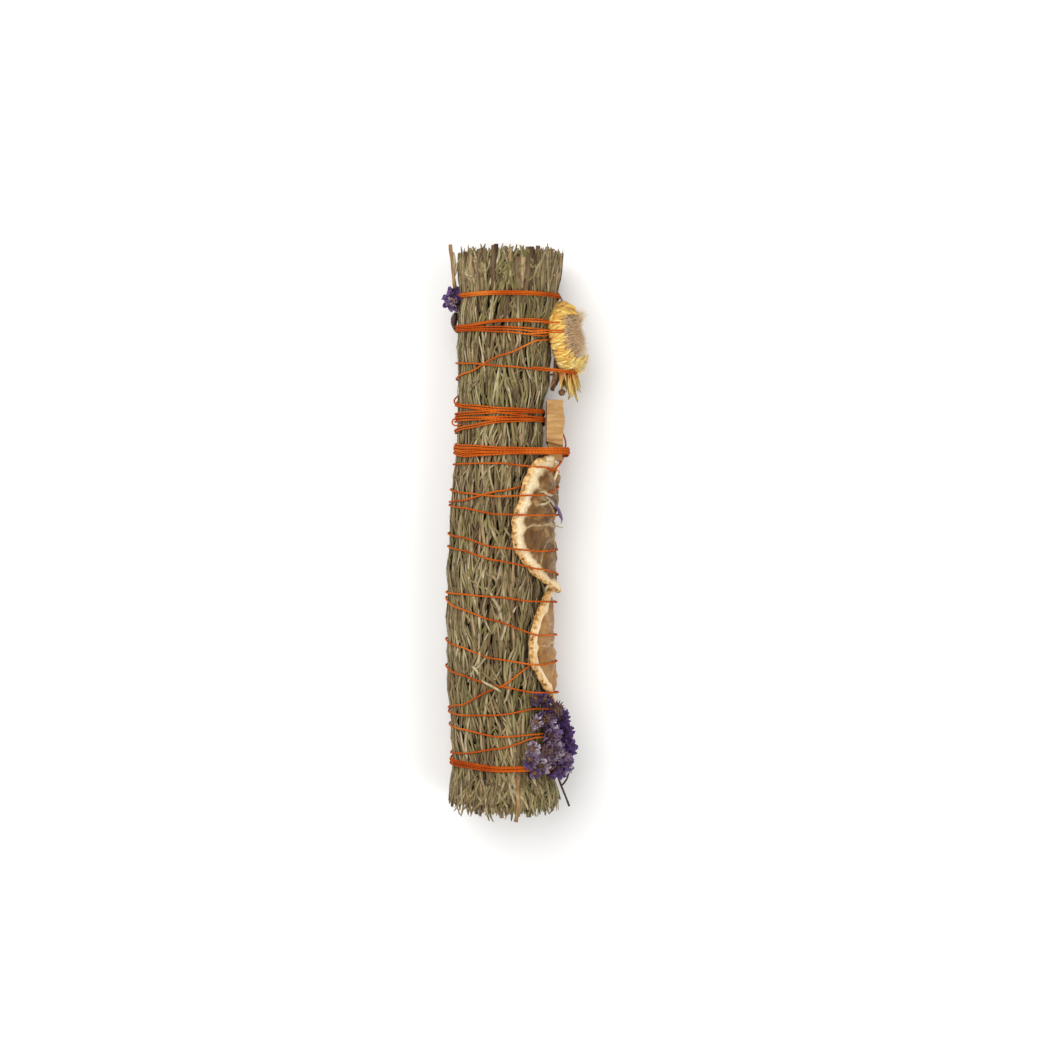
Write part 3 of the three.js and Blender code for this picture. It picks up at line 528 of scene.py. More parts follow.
KNOTS = [
    (angle - 360 * number, places[i])
    for number, (places, _) in enumerate(THREAD_TURNS)
    for i, angle in enumerate(TURN_ANGLES)
]
KNOT_ANGLES = np.array([knot[0] for knot in KNOTS], float)
KNOT_PLACES = np.array([knot[1] for knot in KNOTS], float)


def thread_place(running):
    """Place along the stick at a running angle in degrees, which falls by 360 with each turn."""
    running = np.asarray(running, float)
    last = len(KNOTS) - 1
    after = np.clip(np.searchsorted(-KNOT_ANGLES, -running), 1, last)
    start, end = KNOT_ANGLES[after - 1], KNOT_ANGLES[after]
    part = np.clip((start - running) / (start - end), 0, 1)
    eased = 0.5 * part + 0.5 * part * part * (3 - 2 * part)
    return KNOT_PLACES[after - 1] + (KNOT_PLACES[after] - KNOT_PLACES[after - 1]) * eased


def angle_from(degrees, angle):
    difference = angle - math.radians(degrees)
    return math.atan2(math.sin(difference), math.cos(difference))


def slice_lip(citrus, y):
    return citrus["lip"] * smooth(citrus["y"] - y, citrus["radius"] - LIP_LENGTH, citrus["radius"])


def slice_cover(citrus, angle, y):
    level = float(radius_at(y)) + SLICE_RISE
    u = angle_from(citrus["angle"], angle) * level
    margin = 5 if u < 0 else 2.5
    inside = math.hypot(u / citrus["below"] if u < 0 else u, y - citrus["y"]) < citrus["radius"] + margin
    return level + PITH_THICKNESS + float(slice_lip(citrus, y)) if inside else 0


def block_cover(angle, y):
    depth = 14 - (3.4 if y < BLOCK_STEP_Y - 1.7 else 0)
    reach = BLOCK_OUTER_X + 1.0 - float(centre_x(y))
    corner = math.atan2(depth, reach)
    return reach / math.cos(angle) if abs(angle_from(0, angle)) <= corner + math.radians(5) else 0


def cover(over, angle, y):
    """How far out something else reaches where a turn crosses it, or 0 where only herbs are."""
    if over == "upper":
        return slice_cover(UPPER_SLICE, angle, y)
    if over == "lower":
        return slice_cover(LOWER_SLICE, angle, y)
    if over == "block":
        return block_cover(angle, y)
    if over == "petals":
        return 27.5 if abs(angle_from(0, angle)) < math.radians(14) else 0
    on_stem = abs(angle_from(24, angle)) < math.radians(5)
    return float(thread_level(angle, y)) + 2.1 if over == "statice" and on_stem else 0


def taut_outline(number):
    """The points of a turn's cross-section that hold it out, wrapped by a convex outline."""
    points = []
    for degrees in range(0, 360, 4):
        running = 225 - 360 * number - degrees
        angle = math.radians(running)
        y = float(thread_place(running))
        reach = cover(THREAD_TURNS[number][1], angle, y)
        radius = max(float(thread_level(angle, y)), reach + THREAD_CLEARANCE if reach else 0)
        points.append((radius * math.cos(angle), radius * math.sin(angle)))
    flat = bmesh.new()
    for x, z in points:
        flat.verts.new((x, z, 0))
    hull = bmesh.ops.convex_hull(flat, input=flat.verts)
    kept = [g.co.copy() for g in hull["geom"] if isinstance(g, bmesh.types.BMVert)]
    flat.free()
    kept.sort(key=lambda p: math.atan2(p.y, p.x))
    angles = np.array([math.atan2(p.y, p.x) for p in kept])
    return angles, np.array([[p.x, p.y] for p in kept])


def outline_radius(outline, angle):
    """Distance from the axis to a convex outline, straight out at an angle."""
    angles, points = outline
    angle = math.atan2(math.sin(angle), math.cos(angle))
    after = int(np.searchsorted(angles, angle)) % len(angles)
    a, b = points[after - 1], points[after]
    cos, sin = math.cos(angle), math.sin(angle)
    side_a = a[0] * sin - a[1] * cos
    side_b = b[0] * sin - b[1] * cos
    part = side_a / (side_a - side_b) if side_a != side_b else 0
    return (a[0] + (b[0] - a[0]) * part) * cos + (a[1] + (b[1] - a[1]) * part) * sin


OUTLINES = [taut_outline(n) if turn[1] else None for n, turn in enumerate(THREAD_TURNS)]


print("thread rows:", len(THREAD_TURNS), "turns")

# %% [markdown]
# ## The thread's finish
# The thread is a cheap cotton twine, dyed orange. Its finish follows the number called along, which each
# ring carries: fine bands across the thread stand for its turns of fibre, with painted shade in the grooves
# between them, and a slow noise makes some stretches paler, where the dye has faded.

# %% Thread finish
def thread_finish():
    f = Finish("orange_cotton")
    along = f.attribute("along")
    fibres = f.noise(f.place(), 2600, 2)
    bands = f.math("SINE", f.weigh(along, 4.8, fibres, 2.5))
    faded = f.noise(f.place(), 60, 2)
    shade = f.weigh(faded, 0.9, fibres, 0.35)
    colour = f.ramp(shade, [
        (0.30, 136, 48, 4), (0.50, 178, 75, 8), (0.66, 202, 96, 20), (0.85, 224, 126, 46),
    ])
    # Painted shade: the colour darkens in the troughs of the bands, where the bump sinks, that is in the
    # grooves between turns of fibre.
    shaded_grooves = f.mix(f.spread(bands, -1, 0.2, 0.3, 0.0), colour, paint(120, 34, 0))
    normal = f.bump(bands, 0.00006, 0.5)
    return f.finish(base_color=shaded_grooves, roughness=0.8, normal=normal, specular_ior_level=0.15)


orange_cotton = thread_finish()

# %% [markdown]
# ## Winding the thread
# The ring has six corners, every other one drawn in a little, and each ring is turned further than the one
# before it. That gives the twisted strands of real twine with very few faces. Each turn is swept on its
# own, from underneath to underneath. In the tight bands the real thread lies two or three times side by
# side, so some turns get more strands, which leave the turn's route on the left and right by a given shift
# and come back to it underneath. A few loose loops stand off, on the left edge, beside the block and over
# the petals.

# %% Wound thread
RINGS_PER_TURN = 170
TURN_START = 225
MORE_STRANDS = [
    (0, -0.5, -0.55), (2, -0.3, -1.0), (3, -0.7, -1.2), (7, -0.9, -0.8), (7, -0.5, -3.4), (8, 0.9, 0.8),
    (9, -0.9, -0.9), (9, 0.5, -1.9), (10, 0.9, 0.7), (11, -0.9, -0.6), (12, -0.8, -0.8), (13, -0.9, 0.7),
    (13, 0.8, 0.6), (28, -0.55, -0.15), (29, -0.8, -0.3),
]
STRAND_LIFT = 0.3


def turn_outline(number, angles, places):
    """Distances of one turn from the axis, eased where it is pulled taut over something."""
    radii = thread_level(np.radians(angles), places)
    if OUTLINES[number] is None:
        return radii
    taut = np.array([outline_radius(OUTLINES[number], math.radians(a)) for a in angles])
    eased = np.convolve(np.pad(taut, 3, mode="edge"), np.full(7, 1 / 7), mode="valid")
    return np.maximum(radii, eased)


def thread_turn(number, left=0.0, right=0.0):
    part = np.linspace(0, 1, RINGS_PER_TURN + 1)
    angles = TURN_START - 360 * (number + part)
    leaves = smooth(part, 0, 0.12) * (1 - smooth(part, 0.88, 1))
    places = thread_place(angles) + leaves * (left + (right - left) * smooth(part, 0.12, 0.62))
    lift = STRAND_LIFT * leaves if left or right else 0
    radii = turn_outline(number, angles, places) + lift
    points = [Vector(p) for p in at_radius(np.radians(angles), places, radii)]
    ups = [Vector((math.cos(math.radians(a)), 0, math.sin(math.radians(a)))) for a in angles]
    return sweep(points, [THREAD_RADIUS * 0.98] * len(points), ups, 6, lobes=0.15, twist=math.pi / 3.5)


def thread_loop(places, size):
    """A loose bit of thread through places given as for on_stick, rounded by a curve through them."""
    knots = [on_stick(*place) for place in places]
    points = []
    for a, b, c, d in zip([knots[0]] + knots, knots, knots[1:], knots[2:] + [knots[-1]]):
        for part in (0, 0.25, 0.5, 0.75):
            points.append(curve_point(a, b, c, d, part))
    points.append(knots[-1])
    return sweep(points, size, UP, 6, lobes=0.15, twist=0.9)


def curve_point(a, b, c, d, part):
    """A point between b and c of a smooth curve that also passes a and d."""
    first = 2 * b + (c - a) * part
    second = (2 * a - 5 * b + 4 * c - d) * part**2
    third = (3 * b - a - 3 * c + d) * part**3
    return (first + second + third) / 2


LOOPS = [
    [(150, 42.6, 0.1), (168, 42.4, 0.4), (176, 43.4, 1.4), (178, 44.8, 1.2), (172, 45.2, 0.3)],
    [(150, 50.4, 0.1), (170, 50.9, 0.2), (177, 52.2, 0.9), (178, 53.4, 0.5), (170, 54.2, -0.3)],
    [(10, 41.5, 6.4), (11, 39.6, 7.6), (12, 37.2, 8.6), (12, 35, 9), (12, 32, 8.5), (12, 29.4, 7.4),
     (13, 27.2, 6.2),
     (15, 25.4, 4.8), (20, 24.2, 3.4), (30, 23.6, 3)],
    [(14, 34, 7.4), (13, 32.4, 8.8), (12, 30.4, 8.2), (12, 28.2, 7.2), (14, 26.4, 5.8), (20, 25.2, 4.2),
     (32, 24.8, 3.2)],
    [(60, 78.8, 0.2), (50, 79, 2.8), (42, 79.2, 5.2), (37, 79.3, 7.6), (34, 79.3, 9)],
    [(60, 77.8, 0.2), (50, 78.1, 2.8), (42, 78.4, 5.2), (37, 78.5, 7.6), (34, 78.5, 9.2)],
    [(60, 82.6, 0.2), (50, 82.6, 2.6), (42, 82.4, 5), (38, 82.4, 6.8), (36, 82.3, 8)],
    [(56, 64.8, 0.6), (46, 64.4, 3.4), (36, 64, 6.6), (28, 63.6, 8.8), (20, 63.5, 10), (10, 63.4, 10.3),
     (2, 63.4, 9.6)],
    [(50, 63.9, 0.6), (42, 63.6, 3.6), (33, 63.3, 6.8), (26, 63, 8.8), (18, 62.9, 9.8), (8, 62.8, 10),
     (0, 62.8, 9.2)],
]


def wound_thread():
    bm = bmesh.new()
    for number in range(len(THREAD_TURNS)):
        add_bmesh(bm, thread_turn(number))
    for strand in MORE_STRANDS:
        add_bmesh(bm, thread_turn(*strand))
    for places in LOOPS:
        add_bmesh(bm, thread_loop(places, THREAD_RADIUS * 0.9))
    return to_mesh(bm, "orange_thread_wound")


add_piece(wound_thread(), "orange_thread_wound", [orange_cotton], ["orange_thread"])

# %% [markdown]
# ## Where the herbs stand between the turns
# Loose needles swell between two turns of thread and are pinched under each one. The herbs' level is just
# under the thread beside a turn and a little higher away from it. The distance to the nearest turn is
# found for all points at once. Needles are first laid out on a flat sheet, and then the sheet is rolled
# round the stick. Whatever would stand above the herbs' level is pressed down to it softly.

# %% Herb level
PINCH_REACH = [0, 2.4, 6, 10]
PINCH_LEVEL = [-0.62, -0.55, 0.15, 0.45]
SOFTNESS = 0.25
AROUND = 20.0


def nearest_turn(angle, y):
    """Distance along the stick from each point to the nearest turn of thread."""
    degrees = np.degrees(angle)
    wrapped = (degrees + 135) % 360 - 135
    nearest = np.full(np.shape(y), 99.0)
    for number in range(len(THREAD_TURNS)):
        nearest = np.minimum(nearest, np.abs(y - thread_place(wrapped - 360 * number)))
    return nearest


def herb_level(angle, y):
    return thread_level(angle, y) + np.interp(nearest_turn(angle, y), PINCH_REACH, PINCH_LEVEL)


def roll_up(mesh):
    """Rolls a flat sheet (across, along, height, in mm) round the stick."""
    flat = coordinates(mesh)
    angle, y, height = flat[:, 0] / AROUND, flat[:, 1], flat[:, 2]
    pressed = -SOFTNESS * np.logaddexp(0, -height / SOFTNESS)
    radius = np.maximum(herb_level(angle, y) + pressed, 0.5)
    set_coordinates(mesh, at_radius(angle, y, radius))


level_on_top = herb_level(np.array([math.pi / 2]), np.array([0.0]))[0]
print("herb level on top at the middle:", round(float(level_on_top), 1), "mm")

# %% [markdown]
# ## A rosemary needle
# A rosemary leaf is a narrow needle with its edges rolled under: leathery and green-brown on top, felted and
# pale at the edges and below, with a blunt tip. A five-sided tube with its ridge on top gives that section.
# Ten templates with different bends are enough, because every copy also gets its own length, lean and tone.

# %% Needle templates
NEEDLE_PARTS = [0, 0.22, 0.55, 0.88, 1]
NEEDLE_WIDTHS = [0.5, 0.95, 1.0, 0.8, 0.42]
NEEDLE_FLATNESS = 0.62


def needle_template(bend, wave, curl):
    """A needle along +Y, one unit long and one unit in half width at its widest."""
    slim = 0.03
    points = []
    for part in NEEDLE_PARTS:
        sideways = bend * part * part + wave * math.sin(2 * math.pi * part)
        points.append(Vector((sideways, part, curl * math.sin(math.pi * part))))
    bm = sweep(points, [slim * width for width in NEEDLE_WIDTHS], UP, 5)
    bm.verts.layers.float.new("tone")
    under_layer = bm.verts.layers.float.new("under")
    along_layer = bm.verts.layers.float["along"]
    for vert in bm.verts:
        part = min(max(vert.co.y, 0), 1)
        middle = curl * math.sin(math.pi * part)
        height = vert.co.z - middle
        vert.co.z = middle + height * NEEDLE_FLATNESS
        vert[under_layer] = min(max(0.5 - 0.5 * height / slim, 0), 1)
        vert[along_layer] = part
    return to_mesh(bm, "needle")


NEEDLES = [
    needle_template(bend, wave, curl)
    for bend, wave, curl in [
        (0.0, 0.01, 0.02), (0.06, 0.0, 0.03), (-0.06, 0.01, 0.02), (0.14, 0.0, -0.02), (-0.15, -0.01, 0.03),
        (0.02, 0.03, -0.03), (-0.03, -0.03, 0.04), (0.24, 0.02, 0.02), (-0.26, 0.0, 0.03), (0.0, -0.02, 0.05),
    ]
]
print("a needle has", len(NEEDLES[0].polygons), "faces")

# %% [markdown]
# ## Needle and stem finishes
# Dried rosemary isn't one green. Each needle's tone picks its colour from olive through grey-brown to
# straw, and the same needle is darker at its root. Its underside is pale felt. Fine noise stretched along
# the stick adds streaks. The woody stems are mauve-brown with cracked bark, and their cut ends are pale.

# %% Rosemary finishes
def needle_finish():
    f = Finish("dried_needle")
    tone, along, under = f.attribute("tone"), f.attribute("along"), f.attribute("under")
    streaks = f.noise(f.place((1, 0.12, 1)), 900, 3)
    patches = f.noise(f.place((1, 0.35, 1)), 70, 2)
    greener = f.noise(f.place(), 34, 1)
    mixed = f.weigh(tone, 0.84, patches, 0.22)
    top = f.ramp(mixed, [
        (0.05, 44, 32, 16), (0.22, 84, 66, 36), (0.40, 124, 104, 64), (0.56, 152, 132, 90),
        (0.74, 180, 160, 120), (0.95, 222, 206, 168),
    ])
    hue = f.math("FRACT", f.math("MULTIPLY", tone, 13.7))
    tint = f.ramp(hue, [
        (0.0, 128, 96, 74), (0.25, 148, 122, 92), (0.6, 146, 134, 88), (0.95, 116, 120, 64),
    ])
    tinted = f.mix(0.4, top, tint)
    green = f.mix(f.spread(greener, 0.5, 0.7, 0.0, 0.26), tinted, paint(122, 128, 66))
    root = f.mix(f.spread(along, 0.0, 0.35, 0.45, 0.0), green, paint(72, 50, 28))
    pale = f.mix(f.spread(under, 0.3, 0.9, 0.0, 0.75), root, paint(202, 188, 154))
    streaked = f.mix(f.spread(streaks, 0.38, 0.6, 0.45, 0.0), pale, paint(64, 48, 26))
    normal = f.bump(streaks, 0.00012, 0.5)
    return f.finish(base_color=streaked, roughness=0.72, specular_ior_level=0.25, normal=normal)


def stem_finish():
    f = Finish("woody_stem")
    tone = f.attribute("tone")
    bark = f.noise(f.place((1, 0.16, 1)), 700, 4)
    cracks = f.noise(f.place((1, 0.05, 1)), 1500, 3)
    mixed = f.weigh(tone, 0.5, bark, 0.75)
    colour = f.ramp(mixed, [
        (0.25, 60, 44, 30), (0.45, 98, 78, 56), (0.65, 130, 108, 80), (0.9, 178, 150, 112),
    ])
    cracked = f.mix(f.spread(cracks, 0.36, 0.52, 0.6, 0.0), colour, paint(56, 40, 28))
    normal = f.bump(bark, 0.0006, 0.9, f.bump(cracks, 0.0004, 0.8))
    return f.finish(base_color=cracked, roughness=0.85, normal=normal, specular_ior_level=0.15)


def cut_end_finish():
    f = Finish("cut_stem_end")
    grain = f.noise(f.place(), 1800, 3)
    colour = f.ramp(grain, [(0.3, 150, 116, 78), (0.6, 196, 164, 120), (0.8, 222, 196, 156)])
    return f.finish(base_color=colour, roughness=0.9, normal=f.bump(grain, 0.0002, 0.6))


def core_finish():
    f = Finish("shaded_heart")
    crumbs = f.noise(f.place((1, 0.15, 1)), 420, 4)
    # The heart's very dark browns are painted shade deep inside the bundle, and partly old, dusty inner
    # stems.
    colour = f.ramp(crumbs, [(0.3, 20, 14, 8), (0.6, 46, 34, 20), (0.85, 78, 62, 38)])
    normal = f.bump(crumbs, 0.0012, 0.9)
    return f.finish(base_color=colour, roughness=0.95, normal=normal, specular_ior_level=0.1)


dried_needle = needle_finish()
woody_stem = stem_finish()
cut_stem_end = cut_end_finish()
shaded_heart = core_finish()

# %% [markdown]
# ## Rosemary sprigs
# Twelve sprigs lie side by side round the stick. Each is laid out flat, as if the bundle had been unrolled:
# needles in four layers, the lowest darkest, each leaning a little off the stick's line, some of them
# lying well across. Most needles of a sprig point the same way, because they all grow towards its tip. At
# the lower end, both edges of the bundle are cut a little shorter than its middle.

# %% Laying out a sprig
SPRIG_COUNT = 12
SHARE = 2 * math.pi / SPRIG_COUNT
# Each layer's dark lowers its needles' tone: painted shade under the layers above, and partly older, dustier
# inner needles.
LAYERS = [
    {"depth": 3.0, "count": 130, "dark": 0.40},
    {"depth": 2.1, "count": 150, "dark": 0.26},
    {"depth": 1.2, "count": 150, "dark": 0.14},
    {"depth": 0.4, "count": 135, "dark": 0.0},
]
NEEDLE_LENGTH = (11, 21)
SHORT_NEEDLE = (6, 11)
NEEDLE_THICKNESS = (15, 25)
SWIRL = 0.42
END_NEEDLES = 44
TANGLED_NEEDLES = 44
STEMS_PER_SPRIG = 4


def sprig_middle(index):
    return -math.pi / 2 + index * SHARE


def end_reach(angle, grows):
    """How far the herbs reach along the stick at an angle round it."""
    if grows > 0:
        return TOP_END
    sideways = math.cos(angle)
    return BOTTOM_END + 3.6 * float(smooth(-sideways, 0.7, 1)) + 3.0 * float(smooth(sideways, 0.8, 1))


def pick_tone(chance, dark):
    """Mostly middling tones, with some dark and some straw-coloured needles."""
    drawn = chance.random()
    if drawn < 0.16:
        tone = chance.uniform(0.82, 1.0)
    elif drawn < 0.36:
        tone = chance.uniform(0.05, 0.3)
    else:
        tone = chance.uniform(0.3, 0.8)
    return max(0, tone - dark)


def laid_needle(chance, across, along, height, grows, length, lean):
    pitch = chance.uniform(-0.02, 0.06)
    roll = chance.uniform(-0.9, 0.9)
    turned = Matrix.Rotation(lean + (0 if grows > 0 else math.pi), 4, "Z")
    turned = turned @ Matrix.Rotation(pitch, 4, "X") @ Matrix.Rotation(roll, 4, "Y")
    thick = chance.uniform(*NEEDLE_THICKNESS)
    sized = Matrix.Diagonal((thick, length, thick, 1))
    return Matrix.Translation((across, along, height)) @ turned @ sized


def lay_needles(bm, chance, index):
    main_way = 1 if chance.random() < 0.55 else -1
    for layer in LAYERS:
        for _ in range(layer["count"]):
            grows = main_way if chance.random() < 0.8 else -main_way
            crosses = chance.random() < 0.13
            length = chance.uniform(*(SHORT_NEEDLE if crosses else NEEDLE_LENGTH))
            lean = chance.gauss(0, 0.15) + (chance.choice((-0.6, 0.6)) if crosses else 0)
            angle = sprig_middle(index) + chance.uniform(-0.54, 0.54) * SHARE
            reach = end_reach(angle, grows) - grows
            start = chance.uniform(BOTTOM_END + 6, TOP_END - 5)
            lean += SWIRL * noise.noise(Vector((angle * AROUND * 0.1, start * 0.06, 7.3)))
            lean += 0.2 * float(smooth(-start, 84, 100)) * (-1 if grows > 0 else 1)
            if (start + grows * length - reach) * grows > 0:
                start = reach - grows * length
            height = -layer["depth"] + chance.uniform(-0.5, 0.5)
            matrix = laid_needle(chance, angle * AROUND, start, height, grows, length, lean)
            add_copy(bm, chance.choice(NEEDLES), matrix, pick_tone(chance, layer["dark"]))


def lay_end_needles(bm, chance, index):
    """Needles that stick out of both cut ends, from the surface down to the heart."""
    for grows in (1, -1):
        for i in range(END_NEEDLES):
            depth = 14 * (i / END_NEEDLES) ** 1.3
            length = chance.uniform(9, 19)
            angle = sprig_middle(index) + chance.uniform(-0.52, 0.52) * SHARE
            tip = end_reach(angle, grows) + grows * chance.gauss(-0.8, 1.3)
            tip = min(max(tip, BOTTOM_END - 2.2), TOP_END + 1.4)
            lean = chance.gauss(0, 0.22) + (0.24 if grows < 0 else 0)
            root = tip - grows * length
            matrix = laid_needle(chance, angle * AROUND, root, -depth - 0.4, grows, length, lean)
            add_copy(bm, chance.choice(NEEDLES), matrix, pick_tone(chance, 0.08))


def lay_tangle(bm, chance, index):
    """Short needles that lie every way near both ends, where no thread holds them."""
    for i in range(TANGLED_NEEDLES):
        way = 1 if i % 2 else -1
        angle = sprig_middle(index) + chance.uniform(-0.5, 0.5) * SHARE
        start = end_reach(angle, way) - way * chance.uniform(4, 15)
        height = -chance.uniform(-0.3, 2.0)
        grows = chance.choice((1, -1))
        if start * way > 104 and grows == way:
            start -= 5 * way
        length, lean = chance.uniform(5, 10), chance.gauss(0, 0.5)
        matrix = laid_needle(chance, angle * AROUND, start, height, grows, length, lean)
        add_copy(bm, chance.choice(NEEDLES), matrix, pick_tone(chance, 0.06))


print("needles on the stick:", SPRIG_COUNT * (sum(layer["count"] for layer in LAYERS) + 2 * END_NEEDLES))

# %% [markdown]
# ## Stems and cores
# A stem wanders along its sprig and sinks under the needles away from its cut end. It is swept in the flat
# layout too, with a knobbly thickness, and its cut end keeps its own pale material. At the upper end the
# stems are thick and nearly bare, as where a bunch is trimmed. The core is a plain slab per sprig, well
# under the needles.

# %% Stems and cores of a sprig
TOP_STEMS = [
    (-0.2, 0.9), (0.0, 1.1), (0.3, 0.8), (0.6, 1.0), (0.9, 1.0), (2.0, 1.0),
    (3.5, 1.2), (5, 1.1), (8, 1.1), (11, 0.9),
]
BOTTOM_STEMS = [(0.3, 0.8), (0.9, 0.6), (3, 0.9), (6, 0.9), (10, 0.9)]


def wavy_stem(chance, across, low, high, depth, thickness, sinks):
    """A stem that is depth under the surface at high and sinks deeper on its way to low."""
    steps = max(6, int(abs(high - low) / 4))
    phase = chance.uniform(0, 6.3)
    sway = chance.uniform(0.3, 1.1)
    points, sizes = [], []
    for i in range(steps + 1):
        part = i / steps
        y = low + (high - low) * part
        height = -depth - sinks * (1 - part) ** 2 + 0.25 * math.sin(y / 11 + phase)
        points.append(Vector((across + sway * math.sin(y / 17 + phase), y, height)))
        sizes.append(thickness * (1 + 0.16 * math.sin(i * 2.4 + phase) + chance.uniform(-0.08, 0.08)))
    return sweep(points, sizes, UP, 8, lobes=0.16)


def paint_ends(bm, cut_index):
    """The stem's two end caps, which are its only faces with more than four corners."""
    for face in bm.faces:
        face.material_index = cut_index if len(face.verts) > 4 else 1


def lay_stems(bm, chance, index):
    width = SHARE * AROUND
    middle = sprig_middle(index) * AROUND
    for _ in range(STEMS_PER_SPRIG):
        low = chance.uniform(BOTTOM_END + 4, 40)
        high = min(low + chance.uniform(50, 110), TOP_END - 6)
        across = middle + chance.uniform(-0.45, 0.45) * width
        made = wavy_stem(chance, across, low, high, chance.uniform(0.3, 1.3), chance.uniform(0.45, 0.75), 0.4)
        paint_ends(made, 2)
        add_bmesh(bm, made, chance.uniform(0, 1))
    for grows, stems in ((1, TOP_STEMS), (-1, BOTTOM_STEMS)):
        for depth, thickness in stems:
            across = middle + chance.uniform(-0.46, 0.46) * width
            tip = end_reach(across / AROUND, grows) + grows * chance.uniform(-4.6, 1.2)
            far = tip - grows * chance.uniform(12, 30)
            made = wavy_stem(chance, across, far, tip, depth, thickness * chance.uniform(0.75, 1.15), 1.8)
            paint_ends(made, 2)
            add_bmesh(bm, made, chance.uniform(0, 1))


CORE_DEPTH = 3.7
CORE_END = 106
HEART_DEPTH = 14


def lay_core(bm, index):
    """A flat slab under the needles, which rolls up into a wedge."""
    low = -(HEART_DEPTH + CORE_DEPTH) / 2
    size = (SHARE * AROUND, CORE_END * 2, HEART_DEPTH - CORE_DEPTH)
    slab = box_bmesh(size, (sprig_middle(index) * AROUND, 0, low))
    bmesh.ops.subdivide_edges(slab, edges=edges_along(slab, 1), cuts=50, use_grid_fill=True)
    bmesh.ops.subdivide_edges(slab, edges=edges_along(slab, 0), cuts=4, use_grid_fill=True)
    for vert in slab.verts:
        if vert.co.z > low:
            vert.co.z += 0.5 * noise.noise(Vector((vert.co.x * 0.9, vert.co.y * 0.3, index)))
    set_material(slab, 3)
    add_bmesh(bm, slab)


def rosemary_sprig(index):
    chance = random.Random(500 + index)
    bm = labelled_bmesh("along", "tone", "under")
    lay_needles(bm, chance, index)
    lay_end_needles(bm, chance, index)
    lay_tangle(bm, chance, index)
    lay_stems(bm, chance, index)
    lay_core(bm, index)
    mesh = to_mesh(bm, f"rosemary_needles_{index + 1}")
    roll_up(mesh)
    return mesh


for index in range(SPRIG_COUNT):
    name = f"rosemary_needles_{index + 1}"
    materials = [dried_needle, woody_stem, cut_stem_end, shaded_heart]
    add_piece(rosemary_sprig(index), name, materials, [f"rosemary_sprig_{index + 1}"])

# %% [markdown]
# ## The heart of the bundle
# In the middle run the bare lower stems of all the sprigs. They only show at the two cut ends, so each is a
# short piece there, packed like a bunch of straws by the sunflower rule: each next one is turned by the
# golden angle and set a little further out, which fills a disc evenly.

# %% Heart stems
HEART_STEMS = 34
HEART_RADIUS = 7.4
GOLDEN = 2.39996


def heart_stems():
    chance = random.Random(41)
    bm = labelled_bmesh("along", "tone")
    for end, way in ((TOP_END, 1), (BOTTOM_END, -1)):
        for i in range(HEART_STEMS):
            angle = i * GOLDEN
            out = HEART_RADIUS * math.sqrt((i + 0.5) / HEART_STEMS)
            tip = end - way * chance.uniform(-0.6, 6)
            ys = [tip - way * 26, tip - way * 13, tip]
            points = [Vector(at_radius(angle, y, out * (0.92 + 0.04 * k))) for k, y in enumerate(ys)]
            size = chance.uniform(0.45, 1.15)
            made = sweep(points, [size] * 3, [Vector((0, 0, 1))] * 3, 7)
            for face in made.faces:
                face.material_index = 1 if len(face.verts) > 4 else 0
            add_bmesh(bm, made, chance.uniform(0, 1))
    core = bmesh.new()
    bmesh.ops.create_cone(core, cap_ends=True, segments=16, radius1=7.2, radius2=7.2, depth=2 * CORE_END)
    bmesh.ops.rotate(core, matrix=Matrix.Rotation(math.pi / 2, 3, "X"), verts=core.verts)
    bmesh.ops.subdivide_edges(core, edges=edges_along(core, 1), cuts=12)
    for vert in core.verts:
        vert.co.x += float(centre_x(vert.co.y))
        vert.co.z += float(axis_height(vert.co.y))
    set_material(core, 2)
    add_bmesh(bm, core, 0.5)
    return to_mesh(bm, "heart_stems_packed")


heart_materials = [woody_stem, cut_stem_end, shaded_heart]
add_piece(heart_stems(), "heart_stems_packed", heart_materials, ["heart_stems"])

# %% [markdown]
# ## Finishes of the citrus slices
# A dried slice has four looks in one piece: an orange-brown rind with pits, a thick cream pith that dries
# chalky and yellows at its edge, glassy brown flesh, and pale threads of membrane. The mesh carries two
# numbers for each point, how far out it is and how near it is to a membrane, and the finish reads them. The
# limits between the zones are shaken by noise, because nothing on dried fruit is a true circle.

# %% Citrus finish
def citrus_finish(name, flesh_dark, flesh_light, pith_edge):
    f = Finish(name)
    out, membrane = f.attribute("out"), f.attribute("membrane")
    cells = f.noise(f.place(), 330, 4, 0.6, 0.6)
    chalk = f.noise(f.place(), 900, 4, 0.7)
    blotch = f.noise(f.place(), 110, 3)
    shaken = f.math("ADD", out, f.math("MULTIPLY", f.math("SUBTRACT", cells, 0.5), 0.07))
    flesh = f.ramp(f.weigh(cells, 0.5, blotch, 0.6), [
        (0.34, *flesh_dark), (0.54, *flesh_light), (0.74, 176, 140, 90),
    ])
    skins = f.mix(f.math("MULTIPLY", membrane, 0.85), flesh, paint(206, 180, 138))
    pith = f.ramp(f.weigh(chalk, 0.5, blotch, 0.5), [
        (0.30, 196, 156, 100), (0.44, 226, 198, 150), (0.60, 243, 227, 193),
    ])
    to_pith = f.mix(f.spread(shaken, pith_edge - 0.02, pith_edge + 0.015), skins, pith)
    pits = f.ramp(f.noise(f.place(), 620, 3, 0.6), [
        (0.36, 118, 74, 34), (0.46, 190, 142, 80), (0.62, 228, 190, 130),
    ])
    colour = f.mix(f.spread(shaken, 0.915, 0.975), to_pith, pits)
    in_flesh = f.spread(out, pith_edge - 0.02, pith_edge + 0.02, 1.0, 0.0)
    rough = f.math("SUBTRACT", 0.82, f.math("MULTIPLY", in_flesh, 0.42))
    normal = f.bump(cells, 0.0009, 0.7, f.bump(chalk, 0.0003, 0.7))
    return f.finish(base_color=colour, roughness=rough, normal=normal, specular_ior_level=0.22)


